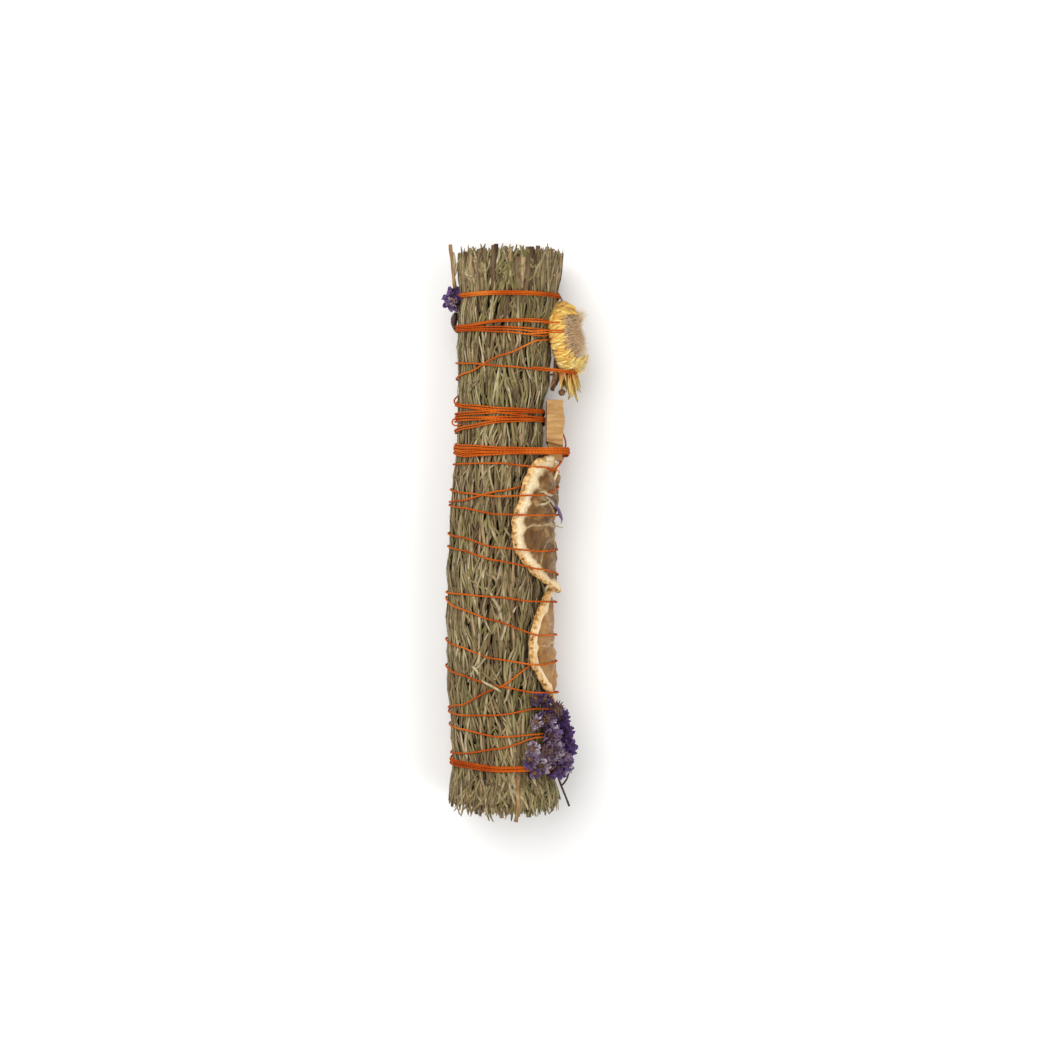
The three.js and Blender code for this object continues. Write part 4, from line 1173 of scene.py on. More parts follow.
upper_citrus = citrus_finish("dried_citrus_upper", (54, 32, 10), (112, 78, 36), 0.83)
lower_citrus = citrus_finish("dried_citrus_lower", (98, 58, 18), (158, 112, 58), 0.86)

# %% [markdown]
# ## Citrus slices
# A slice starts as half of its own section: a short chain of points from the middle of its back, out round
# the rind and in again over its front. Spinning the chain makes the disc. Each point is then lowered in the
# flesh, raised on the membranes and shaken a little, and the disc is bent round the side of the stick. The
# half that reaches under the stick is shorter, because there the fruit is folded against the bundle.

# %% Citrus slice shape
SLICE_STEPS = 180
SLICE_SECTION = [
    (0.0, 0.0), (0.14, 0.0), (0.3, 0.0), (0.46, 0.0), (0.62, 0.0), (0.76, 0.0), (0.88, 0.0), (0.965, 0.03),
    (0.99, 0.3), (1.0, 0.9), (1.0, 1.5), (0.99, 1.95), (0.972, 2.2), (0.94, 2.3), (0.91, 2.26), (0.885, 2.18),
    (0.868, 1.95), (0.853, 1.6), (0.838, 1.3), (0.80, 1.15), (0.73, 1.1), (0.68, 1.12), (0.62, 1.15),
     (0.56, 1.18),
    (0.5, 1.2), (0.44, 1.2), (0.38, 1.22), (0.32, 1.25), (0.26, 1.3), (0.2, 1.42), (0.15, 1.75), (0.11, 1.9),
    (0.07, 1.7), (0.035, 1.2), (0.0, 0.95),
]


def flesh_height(place, cell, share, ridge, seed):
    """Height of the dried flesh: each segment is a pillow of its own between two membranes, with folds.

    cell counts the segments, and its fraction runs from one membrane to the next."""
    folds = noise.noise(Vector((place.x * 3.2, place.y * 3.2, seed)))
    wrinkle = noise.noise(Vector((place.x * 9, place.y * 9, seed + 5)))
    crumple = abs(noise.noise(Vector((place.x * 5, place.y * 5, seed + 9))))
    puffed = 1.3 + 1.6 * noise.noise(Vector((math.floor(cell) * 3.7, seed, 2)))
    pillow = puffed * math.sin(math.pi * (cell % 1)) ** 0.7
    edge = float(smooth(share, 0.12, 0.3) * (1 - smooth(share, 0.74, 0.86)))
    return edge * (pillow + 0.9 * folds + 0.4 * wrinkle + 1.2 * crumple) + 0.8 * ridge


def shape_slice(bm, citrus, seed):
    """Membranes, folds and the scalloped pith, and the two numbers that the finish reads."""
    out_layer = bm.verts.layers.float.new("out")
    membrane_layer = bm.verts.layers.float.new("membrane")
    count = citrus["segments"]
    for vert in bm.verts:
        share = math.hypot(vert.co.x, vert.co.y)
        turn = math.atan2(vert.co.y, vert.co.x)
        shaken = turn + 0.3 * noise.noise(Vector((share * 4, turn * 2, seed)))
        cell = shaken * count / (2 * math.pi)
        nearest = abs((cell + 0.5) % 1 - 0.5) * 2 * math.pi / count * share
        ridge = math.exp(-((nearest / 0.014) ** 2))
        scallop = 0.055 * math.exp(-((nearest / 0.07) ** 2))
        scallop += 0.02 * noise.noise(Vector((turn * 3, share, seed)))
        is_front = vert.co.z > 0.5
        vert[out_layer] = share
        vert[membrane_layer] = ridge if is_front and 0.14 < share < 0.82 else 0
        if is_front and 0.14 < share < 0.87:
            vert.co.z += flesh_height(vert.co, cell, share, ridge * (share < 0.82), seed)
        elif is_front and share > 0.87:
            vert.co.z += 0.35 * noise.noise(Vector((vert.co.x * 7, vert.co.y * 7, seed)))
        if is_front and 0.6 < share < 0.9:
            drawn = 1 - scallop * float(smooth(share, 0.6, 0.8) * (1 - smooth(share, 0.86, 0.9)))
            vert.co.x *= drawn
            vert.co.y *= drawn


def bend_slice(mesh, citrus):
    flat = coordinates(mesh)
    share = np.hypot(flat[:, 0], flat[:, 1])
    turn = np.arctan2(flat[:, 1], flat[:, 0])
    wave = 1 + 0.018 * np.sin(turn * 5 + citrus["segments"])
    wave = wave + 0.01 * np.sin(turn * 13) + 0.006 * np.sin(turn * 29)
    shortened = np.where(np.cos(turn) < 0, citrus["below"], 1.0)
    along = share * wave * np.sin(turn)
    u = share * citrus["radius"] * wave * shortened * np.cos(turn) + citrus["hook"] * smooth(along, 0.4, 1.0)
    y = citrus["y"] + along * citrus["radius"] * (1 + citrus["stretch"] * smooth(along, 0, 1))
    level = radius_at(y) + SLICE_RISE
    ripple = smooth(share, 0.6, 1.0) * (0.3 * np.sin(turn * 7 + 1) + 0.2 * np.sin(turn * 12))
    radius = level + slice_lip(citrus, y) + flat[:, 2] + ripple
    set_coordinates(mesh, at_radius(math.radians(citrus["angle"]) + u / level, y, radius))


FOLD_PLACES = [
    (34, 28.6, 2.4), (25, 29.2, 3.6), (18, 29.2, 4.4), (13, 27.8, 4.8), (12, 26, 4.8),
    (14, 23.6, 4.6), (20, 20.6, 4.2),
]
FOLD_SIZES = [1.3, 1.3, 1.1, 0.9, 0.75, 0.65, 0.3]


def citrus_slice(name, citrus, seed, folded=()):
    """A bent slice, with a folded bit of rim through more places where it has one."""
    bm = spun(SLICE_SECTION, SLICE_STEPS)
    shape_slice(bm, citrus, seed)
    mesh = to_mesh(bm, name)
    bend_slice(mesh, citrus)
    if not folded:
        return mesh
    whole = bmesh.new()
    whole.from_mesh(mesh)
    points = [on_stick(*place) for place in folded]
    fold = sweep(points, FOLD_SIZES, [Vector((0.3, 0, 1))] * len(points), 8, lobes=0.1)
    mark(fold, "out", 0.9)
    add_bmesh(whole, fold)
    return to_mesh(whole, name)


upper = citrus_slice("citrus_upper_dried", UPPER_SLICE, 3, FOLD_PLACES)
add_piece(upper, "citrus_upper_dried", [upper_citrus], ["citrus_slice_upper"])
lower = citrus_slice("citrus_lower_dried", LOWER_SLICE, 8)
add_piece(lower, "citrus_lower_dried", [lower_citrus], ["citrus_slice_lower"])

# %% [markdown]
# ## Loose bits
# A few pale needles have dropped on the slices and the herbs, and a curled strip of dry purple petal is
# caught on the upper slice. A needle template is carried from a start to an end. Places are given as the
# angle round the stick in degrees, the place along it, and the rise over the thread's level.

# %% Loose needles and the curled strip
LOOSE_NEEDLES = [
    ((17, -16, 0.5), (15, -26, 0.4), 0.15), ((12, -15, 0.5), (10, -27, 0.5), 0.1), ((6, -14, 0.6),
     (5, -26, 0.6), 0.1),
    ((0, -15, 0.7), (2, -27, 0.7), 0.15),
    ((50, 10.6, 4.0), (31, 10.0, 4.6), 0.98), ((40, 15.5, 4.0), (24, 10.2, 5.2), 0.9), ((46, 15.8, 4.0),
     (30, 14.2, 5.4), 0.95),
    ((36, 4.4, 3.4), (37, -1.2, 4.2), 0.6), ((30, 5.0, 3.6), (27, 0.5, 4.4), 0.9), ((33, -24, 3.6),
     (26, -19, 4.2), 0.9),
    ((105.5, -57.6, 1.3), (85, -62.3, 1.8), 1.0), ((107, -54, 1.2), (86, -59.2, 1.6), 0.25),
     ((110, -52, 0.8), (103, -47, 1.3), 0.9),
    ((40, -16, 0.8), (27, -23.5, 1.8), 0.4), ((36, -26, 0.6), (27, -19, 1.6), 0.3), ((30, -17.5, 1.0),
     (24, -25, 1.6), 0.5),
    ((168, 103, 1.2), (172, 112, 2.2), 1.0), ((168, 102, 1.6), (171, 110, 2.6), 0.95), ((4, 88.5, 2.4),
     (1, 94.2, 3.6), 0.3),
]


LOOSE_THICKNESS = 19


def from_start_to_end(start, end):
    low, high = on_stick(*start), on_stick(*end)
    along = high - low
    turned = along.to_track_quat("Y", "Z").to_matrix().to_4x4()
    sized = Matrix.Diagonal((LOOSE_THICKNESS, along.length, LOOSE_THICKNESS, 1))
    return Matrix.Translation(low) @ turned @ sized


def loose_bits():
    bm = labelled_bmesh("along", "tone", "under")
    for number, (start, end, tone) in enumerate(LOOSE_NEEDLES):
        add_copy(bm, NEEDLES[number % len(NEEDLES)], from_start_to_end(start, end), tone)
    return to_mesh(bm, "loose_needles")


def curled_strip():
    places = [
        (31, 14.2, 3.6), (26, 12.6, 4.4), (21, 10.8, 4.6), (15, 9.0, 5.4), (10, 7.0, 5.6),
        (6, 5.2, 6.2), (3, 3.4, 5.8),
    ]
    points = [on_stick(*place) for place in places]
    made = sweep(points, [0.2, 0.5, 0.75, 0.65, 0.8, 0.5, 0.1], [Vector((1, 0, 0.3))] * 7, 6, lobes=0.5)
    mark(made, "along", 1.0)
    mark(made, "tone", 0.66)
    return to_mesh(made, "curled_strip")


add_piece(loose_bits(), "loose_needles", [dried_needle], [])

# %% [markdown]
# ## Wood block
# The block is an offcut of pale, resinous wood with its grain across it, split at its lower end. It is two
# cubes, a full one and a thinner tongue that makes its step; the corners at the full one's lower end are
# moved, and the edges are bevelled a little unevenly, as a saw and a split leave them. The finish stretches
# noise along the grain and darkens thin lines of late wood.

# %% Wood finish
def wood_finish():
    f = Finish("split_wood")
    rings = f.noise(f.place((0.25, 1.6, 0.12), (0.05, 0, 0.03)), 420, 3, 0.6, 0.4)
    fibres = f.noise(f.place((0.4, 5, 0.2)), 900, 3)
    stains = f.noise(f.place(), 60, 2)
    mixed = f.weigh(rings, 0.75, stains, 0.25)
    colour = f.ramp(mixed, [
        (0.28, 112, 70, 30), (0.40, 162, 120, 70), (0.55, 184, 144, 90), (0.75, 204, 168, 116),
    ])
    streaked = f.mix(f.spread(fibres, 0.3, 0.55, 0.35, 0.0), colour, paint(132, 90, 50))
    normal = f.bump(fibres, 0.0002, 0.6, f.bump(rings, 0.0004, 0.5))
    return f.finish(base_color=streaked, roughness=0.72, normal=normal, specular_ior_level=0.3)


split_wood = wood_finish()

# %% [markdown]
# The block's shape is two planks in one mesh: the full depth above its step, and a thinner tongue below
# it. One cube with its end cut away would also do, but then the step and the split end would have to be
# picked out face by face. A plank is a cube that is scaled, cut into small faces and bevelled, and then
# its surface is roughened along the grain.

# %% Wood block shape
BLOCK_INNER_X = 18.3
BLOCK_HALF_DEPTH = 13
BLOCK_STEP_DROP = 3.4


def plank(x_low, x_high, y_low, y_high, half_depth, seed):
    middle = float(axis_height((BLOCK_TOP_Y + BLOCK_BOTTOM_Y) / 2))
    size = (x_high - x_low, y_high - y_low, half_depth * 2)
    bm = box_bmesh(size, ((x_low + x_high) / 2, (y_low + y_high) / 2, middle))
    bmesh.ops.subdivide_edges(bm, edges=bm.edges, cuts=9, use_grid_fill=True)
    sharp = [e for e in bm.edges if e.calc_face_angle(0) > 1]
    bmesh.ops.bevel(bm, geom=sharp, offset=0.28, segments=2, profile=0.5, material=-1, affect="EDGES")
    for vert in bm.verts:
        place = vert.co
        fibre = noise.noise(Vector((place.x * 0.5, place.y * 1.6, place.z * 0.12 + seed)))
        rough = noise.noise(Vector((place.x * 1.4, place.y * 1.4, place.z * 0.5 + seed)))
        vert.co += vert.normal * (0.16 * fibre + 0.12 * rough - 0.1)
    return bm


def wood_block():
    bm = bmesh.new()
    inner, outer_face = BLOCK_INNER_X, BLOCK_OUTER_X
    upper_part = plank(inner + 0.1, outer_face, BLOCK_STEP_Y - 0.2, BLOCK_TOP_Y, BLOCK_HALF_DEPTH, 1)
    for vert in upper_part.verts:
        low_end = float(smooth(-vert.co.y, -BLOCK_STEP_Y - 3, -BLOCK_STEP_Y))
        outer = (vert.co.x - BLOCK_INNER_X) / (BLOCK_OUTER_X - BLOCK_INNER_X)
        vert.co.y += low_end * (0.9 - 1.6 * outer)
        vert.co.x += 0.7 * (outer > 0.8) * math.exp(-(((vert.co.y - 44) / 3.2) ** 2))
    add_bmesh(bm, upper_part, 0.5)
    half_depth = BLOCK_HALF_DEPTH - BLOCK_STEP_DROP
    tongue = plank(inner + 0.8, outer_face - 0.2, BLOCK_BOTTOM_Y - 1.2, BLOCK_STEP_Y + 2, half_depth, 5)
    for vert in tongue.verts:
        split = float(smooth(-vert.co.y, -BLOCK_BOTTOM_Y - 4, -BLOCK_BOTTOM_Y))
        vert.co.y += split * 1.4 * noise.noise(Vector((vert.co.x * 1.3, 0, vert.co.z * 0.6)))
    add_bmesh(bm, tongue, 0.5)
    return to_mesh(bm, "wood_block_split")


add_piece(wood_block(), "wood_block_split", [split_wood], ["wood_block"], smooth_faces=False)

# %% [markdown]
# ## Strawflower
# A strawflower's petals are stiff papery bracts in many rings. They are yellow, with orange bases, and shine
# like straw. This head has half closed: each bract runs outwards from the base, bulges like the side of a
# bowl, and bends in over the middle. The bract is made flat as a small grid. Its rows follow an arc, its
# sides are drawn in and cupped, and it gets a real thickness. The flower's own axis points to the side,
# and the flower is pressed on the stick a little askew. Below it, a few long bracts droop like a tassel.

# %% Strawflower finishes
def bract_finish():
    f = Finish("papery_bract")
    tone, along, side = f.attribute("tone"), f.attribute("along"), f.attribute("side")
    veins = f.noise(f.place(), 1500, 2)
    patches = f.noise(f.place(), 120, 2)
    mixed = f.weigh(tone, 0.5, patches, 0.5)
    yellow = f.ramp(mixed, [
        (0.20, 214, 160, 66), (0.42, 232, 190, 88), (0.6, 244, 216, 118), (0.85, 250, 234, 166),
    ])
    # Painted shade: darker orange-brown along each bract's sides, where the bracts overlap one another.
    edge_shaded = f.mix(f.spread(side, 0.5, 1.0, 0.0, 0.4), yellow, paint(196, 138, 56))
    based = f.mix(f.spread(along, 0.05, 0.4, 0.9, 0.0), edge_shaded, paint(206, 102, 24))
    veined = f.mix(f.spread(veins, 0.35, 0.6, 0.16, 0.0), based, paint(186, 118, 46))
    normal = f.bump(veins, 0.00015, 0.5)
    shine = {"roughness": 0.42, "specular_ior_level": 0.45, "sheen_weight": 0.2}
    return f.finish(base_color=veined, normal=normal, **shine)


def fluff_finish():
    f = Finish("seed_fluff")
    tone, along = f.attribute("tone"), f.attribute("along")
    grain = f.noise(f.place(), 1400, 2)
    mixed = f.math("ADD", f.math("MULTIPLY", tone, 0.5), f.weigh(along, 0.4, grain, 0.2))
    colour = f.ramp(mixed, [
        (0.12, 136, 88, 42), (0.36, 208, 162, 106), (0.6, 230, 206, 168), (0.9, 250, 240, 224),
    ])
    return f.finish(base_color=colour, roughness=0.9, sheen_weight=0.3, normal=f.bump(grain, 0.0001, 0.3))


def calyx_finish():
    f = Finish("dry_calyx")
    scales = f.noise(f.place((1, 0.5, 1)), 600, 4)
    colour = f.ramp(scales, [(0.3, 74, 48, 28), (0.55, 124, 88, 52), (0.8, 170, 132, 86)])
    return f.finish(base_color=colour, roughness=0.8, normal=f.bump(scales, 0.0004, 0.7))


papery_bract = bract_finish()
seed_fluff = fluff_finish()
dry_calyx = calyx_finish()

# %% [markdown]
# All parts of the flower share one matrix, which stands its axis out to the side of the stick. A bract is
# modelled once, flat, and bent over an arc, and each ring of the flower uses that bract again with its own
# bend and length. Modelling each bract by itself would look no better, since hundreds of them overlap.

# %% Bract template and the flower's frame
FLOWER_Y = 76.3
FLOWER_BASE_RISE = 2.1
FLOWER_TILT = 0.4
FLOWER_TURN = 0.2
FLOWER_SQUEEZE = (0.8, 1.12, 1.0)
FLOWER = Matrix.Translation(on_stick(0, FLOWER_Y, FLOWER_BASE_RISE)) @ Matrix.Rotation(FLOWER_TURN, 4, "Z")
FLOWER = FLOWER @ Matrix.Rotation(math.pi / 2 - FLOWER_TILT, 4, "Y") @ Matrix.Diagonal((*FLOWER_SQUEEZE, 1))


def blade_template(name, shape, bend, cup, thickness, ripe=1.0):
    """A leaf along +X, one unit long and wide, whose middle line bends up between two angles.

    shape gives its width at even steps from root to tip, and ripe how far its tip is marked as grown."""
    rows = len(shape) - 1
    slopes = [bend[0] + (bend[1] - bend[0]) * (row + 0.5) / rows for row in range(rows)]
    middle = [(0.0, 0.0)]
    for slope in slopes:
        middle.append((middle[-1][0] + math.cos(slope) / rows, middle[-1][1] + math.sin(slope) / rows))
    bm = bmesh.new()
    along_layer = bm.verts.layers.float.new("along")
    side_layer = bm.verts.layers.float.new("side")
    bm.verts.layers.float.new("tone")
    bmesh.ops.create_grid(bm, x_segments=rows, y_segments=2, size=0.5)
    for vert in bm.verts:
        row = round((vert.co.x + 0.5) * rows)
        side = vert.co.y * 2
        slope = slopes[min(row, rows - 1)]
        raised = cup * side * side * shape[row]
        x, z = middle[row]
        vert.co = (x - math.sin(slope) * raised, side * shape[row] * 0.5, z + math.cos(slope) * raised)
        vert[along_layer] = ripe * row / rows
        vert[side_layer] = abs(side)
    bmesh.ops.recalc_face_normals(bm, faces=bm.faces)
    bmesh.ops.solidify(bm, geom=bm.faces, thickness=thickness)
    bmesh.ops.recalc_face_normals(bm, faces=bm.faces)
    return to_mesh(bm, name)


BRACT_SHAPE = [0.6, 0.9, 1.0, 0.95, 0.8, 0.55, 0.12]
BRACT_RINGS = [
    {"count": 50, "root": 10.8, "lift": 0.0, "length": 7.6, "bend": (0.45, 1.7)},
    {"count": 52, "root": 11.0, "lift": 0.6, "length": 10.4, "bend": (0.6, 2.15)},
    {"count": 52, "root": 10.6, "lift": 1.1, "length": 12.4, "bend": (0.65, 2.45)},
    {"count": 50, "root": 10.0, "lift": 1.6, "length": 13.2, "bend": (0.7, 2.6)},
    {"count": 46, "root": 9.2, "lift": 2.2, "length": 13.0, "bend": (0.75, 2.6)},
]
NEAR_SIDE_SHORTER = 0.46
FAR_SIDE_SHORTER = 0.5
ENDS_SHORTER = 0.15
TASSEL = 30


CUP_PROFILE = [(0, -0.4), (5, -0.3), (9.6, 0), (11.2, 1.6), (11.8, 3.6), (10.6, 5.4), (8, 6), (0, 6)]


def flower_cup():
    """The closed base that all the bracts grow from."""
    bm = spun(CUP_PROFILE, 30)
    mark(bm, "along", 0.3)
    bmesh.ops.transform(bm, matrix=FLOWER, verts=bm.verts)
    return bm


def add_ring(bm, chance, ring, number):
    template = blade_template("bract", BRACT_SHAPE, ring["bend"], 0.22, 0.012)
    for i in range(ring["count"]):
        turn = (i + number * 0.37) / ring["count"] * 2 * math.pi + chance.uniform(-0.05, 0.05)
        near, far = max(0, -math.cos(turn)), max(0, math.cos(turn))
        kept = 1 - NEAR_SIDE_SHORTER * near - FAR_SIDE_SHORTER * far - ENDS_SHORTER * abs(math.sin(turn))
        length = ring["length"] * chance.uniform(0.86, 1.06) * kept
        width = chance.uniform(1.4, 2.1)
        leaned = Matrix.Rotation(chance.uniform(-0.1, 0.1), 4, "Y")
        leaned = leaned @ Matrix.Rotation(chance.uniform(-0.3, 0.3), 4, "X")
        leaned = Matrix.Rotation(chance.uniform(-0.12, 0.12), 4, "Z") @ leaned
        placed = Matrix.Rotation(turn, 4, "Z") @ Matrix.Translation((ring["root"], 0, ring["lift"])) @ leaned
        sized = Matrix.Diagonal((length, width, length, 1))
        tone = 0.75 * chance.random() - 0.25 * min(0, math.sin(turn)) - 0.15 * max(0, math.sin(turn))
        add_copy(bm, template, FLOWER @ placed @ sized, tone)


def add_tassel(bm, chance):
    """Long bracts that hang down from the lower side of the flower."""
    template = blade_template("long_bract", BRACT_SHAPE, (0.4, -0.7), 0.2, 0.014, ripe=0.9)
    orange = blade_template("orange_bract", BRACT_SHAPE, (-0.4, 0.6), 0.2, 0.014, ripe=0.5)
    for i in range(TASSEL):
        out = (i + chance.random()) / TASSEL
        is_left = out < 0.4
        root = on_stick(chance.uniform(-8, 16), 65.0 - chance.uniform(0, 1.5), 3.4 + 6.4 * out)
        way = Matrix.Rotation(-math.pi / 2 + 0.12 + 0.2 * (out - 0.5) + chance.uniform(-0.16, 0.16), 4, "Z")
        way = way @ Matrix.Rotation(chance.uniform(-0.2, 0.2), 4, "Y")
        way = way @ Matrix.Rotation(chance.uniform(-0.5, 0.5), 4, "X")
        length = chance.uniform(5.0, 9.0) if is_left else chance.uniform(7.5, 13.2)
        sized = Matrix.Diagonal((length, chance.uniform(0.8, 1.3), length, 1))
        shape = orange if is_left or chance.random() < 0.3 else template
        add_copy(bm, shape, Matrix.Translation(root) @ way @ sized, chance.uniform(0.3, 1.0))


def flower_bracts():
    chance = random.Random(77)
    bm = labelled_bmesh("along", "tone", "side")
    add_bmesh(bm, flower_cup(), 0.2)
    for number, ring in enumerate(BRACT_RINGS):
        add_ring(bm, chance, ring, number)
    add_tassel(bm, chance)
    return to_mesh(bm, "strawflower_bracts_papery")


add_piece(flower_bracts(), "strawflower_bracts_papery", [papery_bract], ["strawflower_bracts"])

# %% [markdown]
# ## The flower's fluffy middle
# When a strawflower has gone over, its seeds carry white hairs that push out as a fluffy cushion. Several
# hundred thin three-sided hairs on a low dome give it. They are longest near the rim, and each is marked
# from root to tip, so that the tips can be nearly white.

# %% Fluff and calyx
FLUFF_RADIUS = 11.0
FLUFF_BASE = 3.4
HAIRS = 3000


def hair_template():
    bm = bmesh.new()
    bmesh.ops.create_cone(bm, cap_ends=True, segments=3, radius1=1, radius2=0.25, depth=1)
    bmesh.ops.translate(bm, vec=(0, 0, 0.5), verts=bm.verts)
    along_layer = bm.verts.layers.float.new("along")
    bm.verts.layers.float.new("tone")
    for vert in bm.verts:
        vert[along_layer] = 1 if vert.co.z > 0.5 else 0
    return to_mesh(bm, "hair")


HAIR = hair_template()
print("a hair has", len(HAIR.polygons), "faces")


DOME_PROFILE = [(0, 0), (0.8, 0.4), (1, 2.2), (0.85, 3.4), (0.6, 4.0), (0.3, 4.3), (0, 4.4)]


def flower_dome():
    bm = spun([(share * FLUFF_RADIUS * 0.9, FLUFF_BASE + height) for share, height in DOME_PROFILE], 36)
    for vert in bm.verts:
        vert.co.z += 0.35 * noise.noise(vert.co * 1.3)
    mark(bm, "along", 0.1)
    bmesh.ops.transform(bm, matrix=FLOWER, verts=bm.verts)
    return bm


def flower_fluff():
    chance = random.Random(78)
    bm = labelled_bmesh("along", "tone")
    add_bmesh(bm, flower_dome(), 0.3)
    for i in range(HAIRS):
        share = math.sqrt((i + 0.5) / HAIRS)
        turn = i * GOLDEN
        across, along = share * math.cos(turn), share * math.sin(turn)
        tuft = noise.noise(Vector((2.2 * across, 2.2 * along, 4)))
        lower_rim = float(smooth(-along, 0.1, 0.7) * smooth(across, -0.4, 0.2))
        upper_tuft = math.exp(-(((across - 0.35) / 0.3) ** 2) - (((along - 0.62) / 0.22) ** 2))
        out = share * (FLUFF_RADIUS * 0.86 + 1.2 * lower_rim)
        base = FLUFF_BASE + 4.2 - 2.2 * share**3
        lean = share * 0.5 + 0.4 * tuft + 0.45 * lower_rim + chance.uniform(-0.3, 0.3)
        length = chance.uniform(1.6, 3.2) + 1.6 * tuft + 2.0 * lower_rim + 4.6 * upper_tuft
        placed = Matrix.Translation((out * math.cos(turn), out * math.sin(turn), base))
        placed = placed @ Matrix.Rotation(turn + chance.uniform(-0.5, 0.5), 4, "Z")
        placed = placed @ Matrix.Rotation(lean, 4, "Y")
        tone = -0.06 + 0.3 * share**2 + 0.6 * lower_rim + 0.3 * upper_tuft + chance.uniform(-0.1, 0.25)
        add_copy(bm, HAIR, FLOWER @ placed @ Matrix.Diagonal((0.1, 0.1, length, 1)), tone)
    return to_mesh(bm, "strawflower_fluff")


def flower_calyx():
    """The flower's own stem, the dry bits of calyx behind it, and a small round bud."""
    bm = bmesh.new()
    bud = bmesh.new()
    bmesh.ops.create_icosphere(bud, subdivisions=3, radius=1.35)
    for vert in bud.verts:
        vert.co *= 1 + 0.25 * noise.noise(vert.co * 1.5)
    bmesh.ops.translate(bud, vec=on_stick(10, 55.6, 6.4), verts=bud.verts)
    add_bmesh(bm, bud)
    places = [(69.4, 1.9), (66, 1.6), (63.5, 1.5), (61, 1.5), (58.6, 1.6), (56.5, 1.7)]
    points = [on_stick(4, y, rise) for y, rise in places]
    add_bmesh(bm, sweep(points, [1.0, 0.9, 0.8, 0.85, 0.75, 0.9], SIDEWAYS, 7), 0.5)
    for side in (-1, 1, 0.4):
        parts = (0, 0.2, 0.4, 0.6, 0.8, 1)
        leaf = [on_stick(4 + side * 26 * part, 66 - 9 * part, 1.7 + 0.9 * part) for part in parts]
        add_bmesh(bm, sweep(leaf, [1.2, 1.5, 1.4, 1.2, 0.8, 0.2], SIDEWAYS, 6, lobes=0.35), 0.5)
    return to_mesh(bm, "strawflower_calyx")


add_piece(flower_fluff(), "strawflower_fluff", [seed_fluff], ["strawflower_centre"])
add_piece(flower_calyx(), "strawflower_calyx", [dry_calyx], ["strawflower_stem"])

# %% [markdown]
# ## Statice
# What looks like petals on statice is a papery funnel with a pleated, crimped edge, violet to lilac. Each
# funnel is a ring that is extruded three times: it flares, its edge is pleated, and it gets a thickness.
# The funnels crowd on small heads along a green-brown stem. Some heads have gone brown.

# %% Statice finishes
def statice_finish():
    f = Finish("papery_statice")
    tone, along = f.attribute("tone"), f.attribute("along")
    creases = f.noise(f.place(), 1100, 3)
    patches = f.noise(f.place(), 160, 2)
    mixed = f.weigh(tone, 0.7, patches, 0.3)
    purple = f.ramp(mixed, [
        (0.06, 80, 58, 40), (0.17, 168, 138, 102), (0.26, 66, 38, 88), (0.40, 88, 60, 124),
        (0.54, 118, 96, 142), (0.66, 138, 114, 134), (0.80, 170, 150, 166), (0.95, 222, 210, 220),
    ])
    based = f.mix(f.spread(along, 0.3, 0.95, 0.85, 0.0), purple, paint(108, 82, 60))
    # Painted shade: dark purple-brown where the crease noise sinks the bump, in the creases of the papery
    # petals.
    crease_shaded = f.mix(f.spread(creases, 0.38, 0.58, 0.5, 0.0), based, paint(64, 42, 52))
    normal = f.bump(creases, 0.0004, 0.7)
    return f.finish(base_color=crease_shaded, roughness=0.6, normal=normal, specular_ior_level=0.3)


papery_statice = statice_finish()

# %% [markdown]
# The funnel is made three times with a different flare, and every floret on the stick is a copy of one of
# them. A cone would be quicker, but its edge is a plain circle. Here waves of two, five and ten lobes are
# added to the edge, so that it looks pleated.

# %% Funnel template
FUNNEL_RINGS = [(0.14, 0.0), (0.26, 0.35), (0.6, 0.7), (0.88, 0.92), (1.0, 1.0)]
LOBES = 5
CORNERS_PER_LOBE = 3


def funnel_template(flare, uneven):
    bm = bmesh.new()
    along_layer = bm.verts.layers.float.new("along")
    bmesh.ops.create_circle(bm, segments=LOBES * CORNERS_PER_LOBE, radius=FUNNEL_RINGS[0][0])
    edges = list(bm.edges)
    for (before, low), (radius, height) in zip(FUNNEL_RINGS, FUNNEL_RINGS[1:]):
        ring, edges = next_ring(bm, edges)
        grown = radius / before
        bmesh.ops.scale(bm, vec=(grown, grown, 1), verts=ring)
        bmesh.ops.translate(bm, vec=(0, 0, height - low), verts=ring)
        for vert in ring:
            vert[along_layer] = height
    for vert in bm.verts:
        turn = math.atan2(vert.co.y, vert.co.x)
        outer = max(0, vert.co.z - 0.35) / 0.65
        wave = 0.2 * math.cos(LOBES * turn) + uneven * math.sin(2 * turn + 1)
        wave += 0.07 * math.sin(2 * LOBES * turn)
        vert.co.x *= flare * (1 + outer * wave)
        vert.co.y *= flare * (1 + outer * wave)
        vert.co.z += outer * (0.12 * math.sin(3 * turn + 1) - 0.1 * math.cos(LOBES * turn))
    bmesh.ops.recalc_face_normals(bm, faces=bm.faces)
    bmesh.ops.solidify(bm, geom=bm.faces, thickness=0.05)
    bmesh.ops.recalc_face_normals(bm, faces=bm.faces)
    mark(bm, "tone", 0)
    return to_mesh(bm, "funnel")


FUNNELS = [funnel_template(1.0, 0.3), funnel_template(0.8, 0.45), funnel_template(1.15, 0.38)]
print("a funnel has", len(FUNNELS[0].polygons), "faces")

# %% [markdown]
# ## Placing the funnels
# Each head is a small ball. Funnels stand on its outer side by the sunflower rule and point away from its
# middle. Short brown scales fill the gaps between them. At the end all the petals are crumpled together by
# one noise, so that no two stay the same. The curly dark stalk at the lower end is swept like the stems.

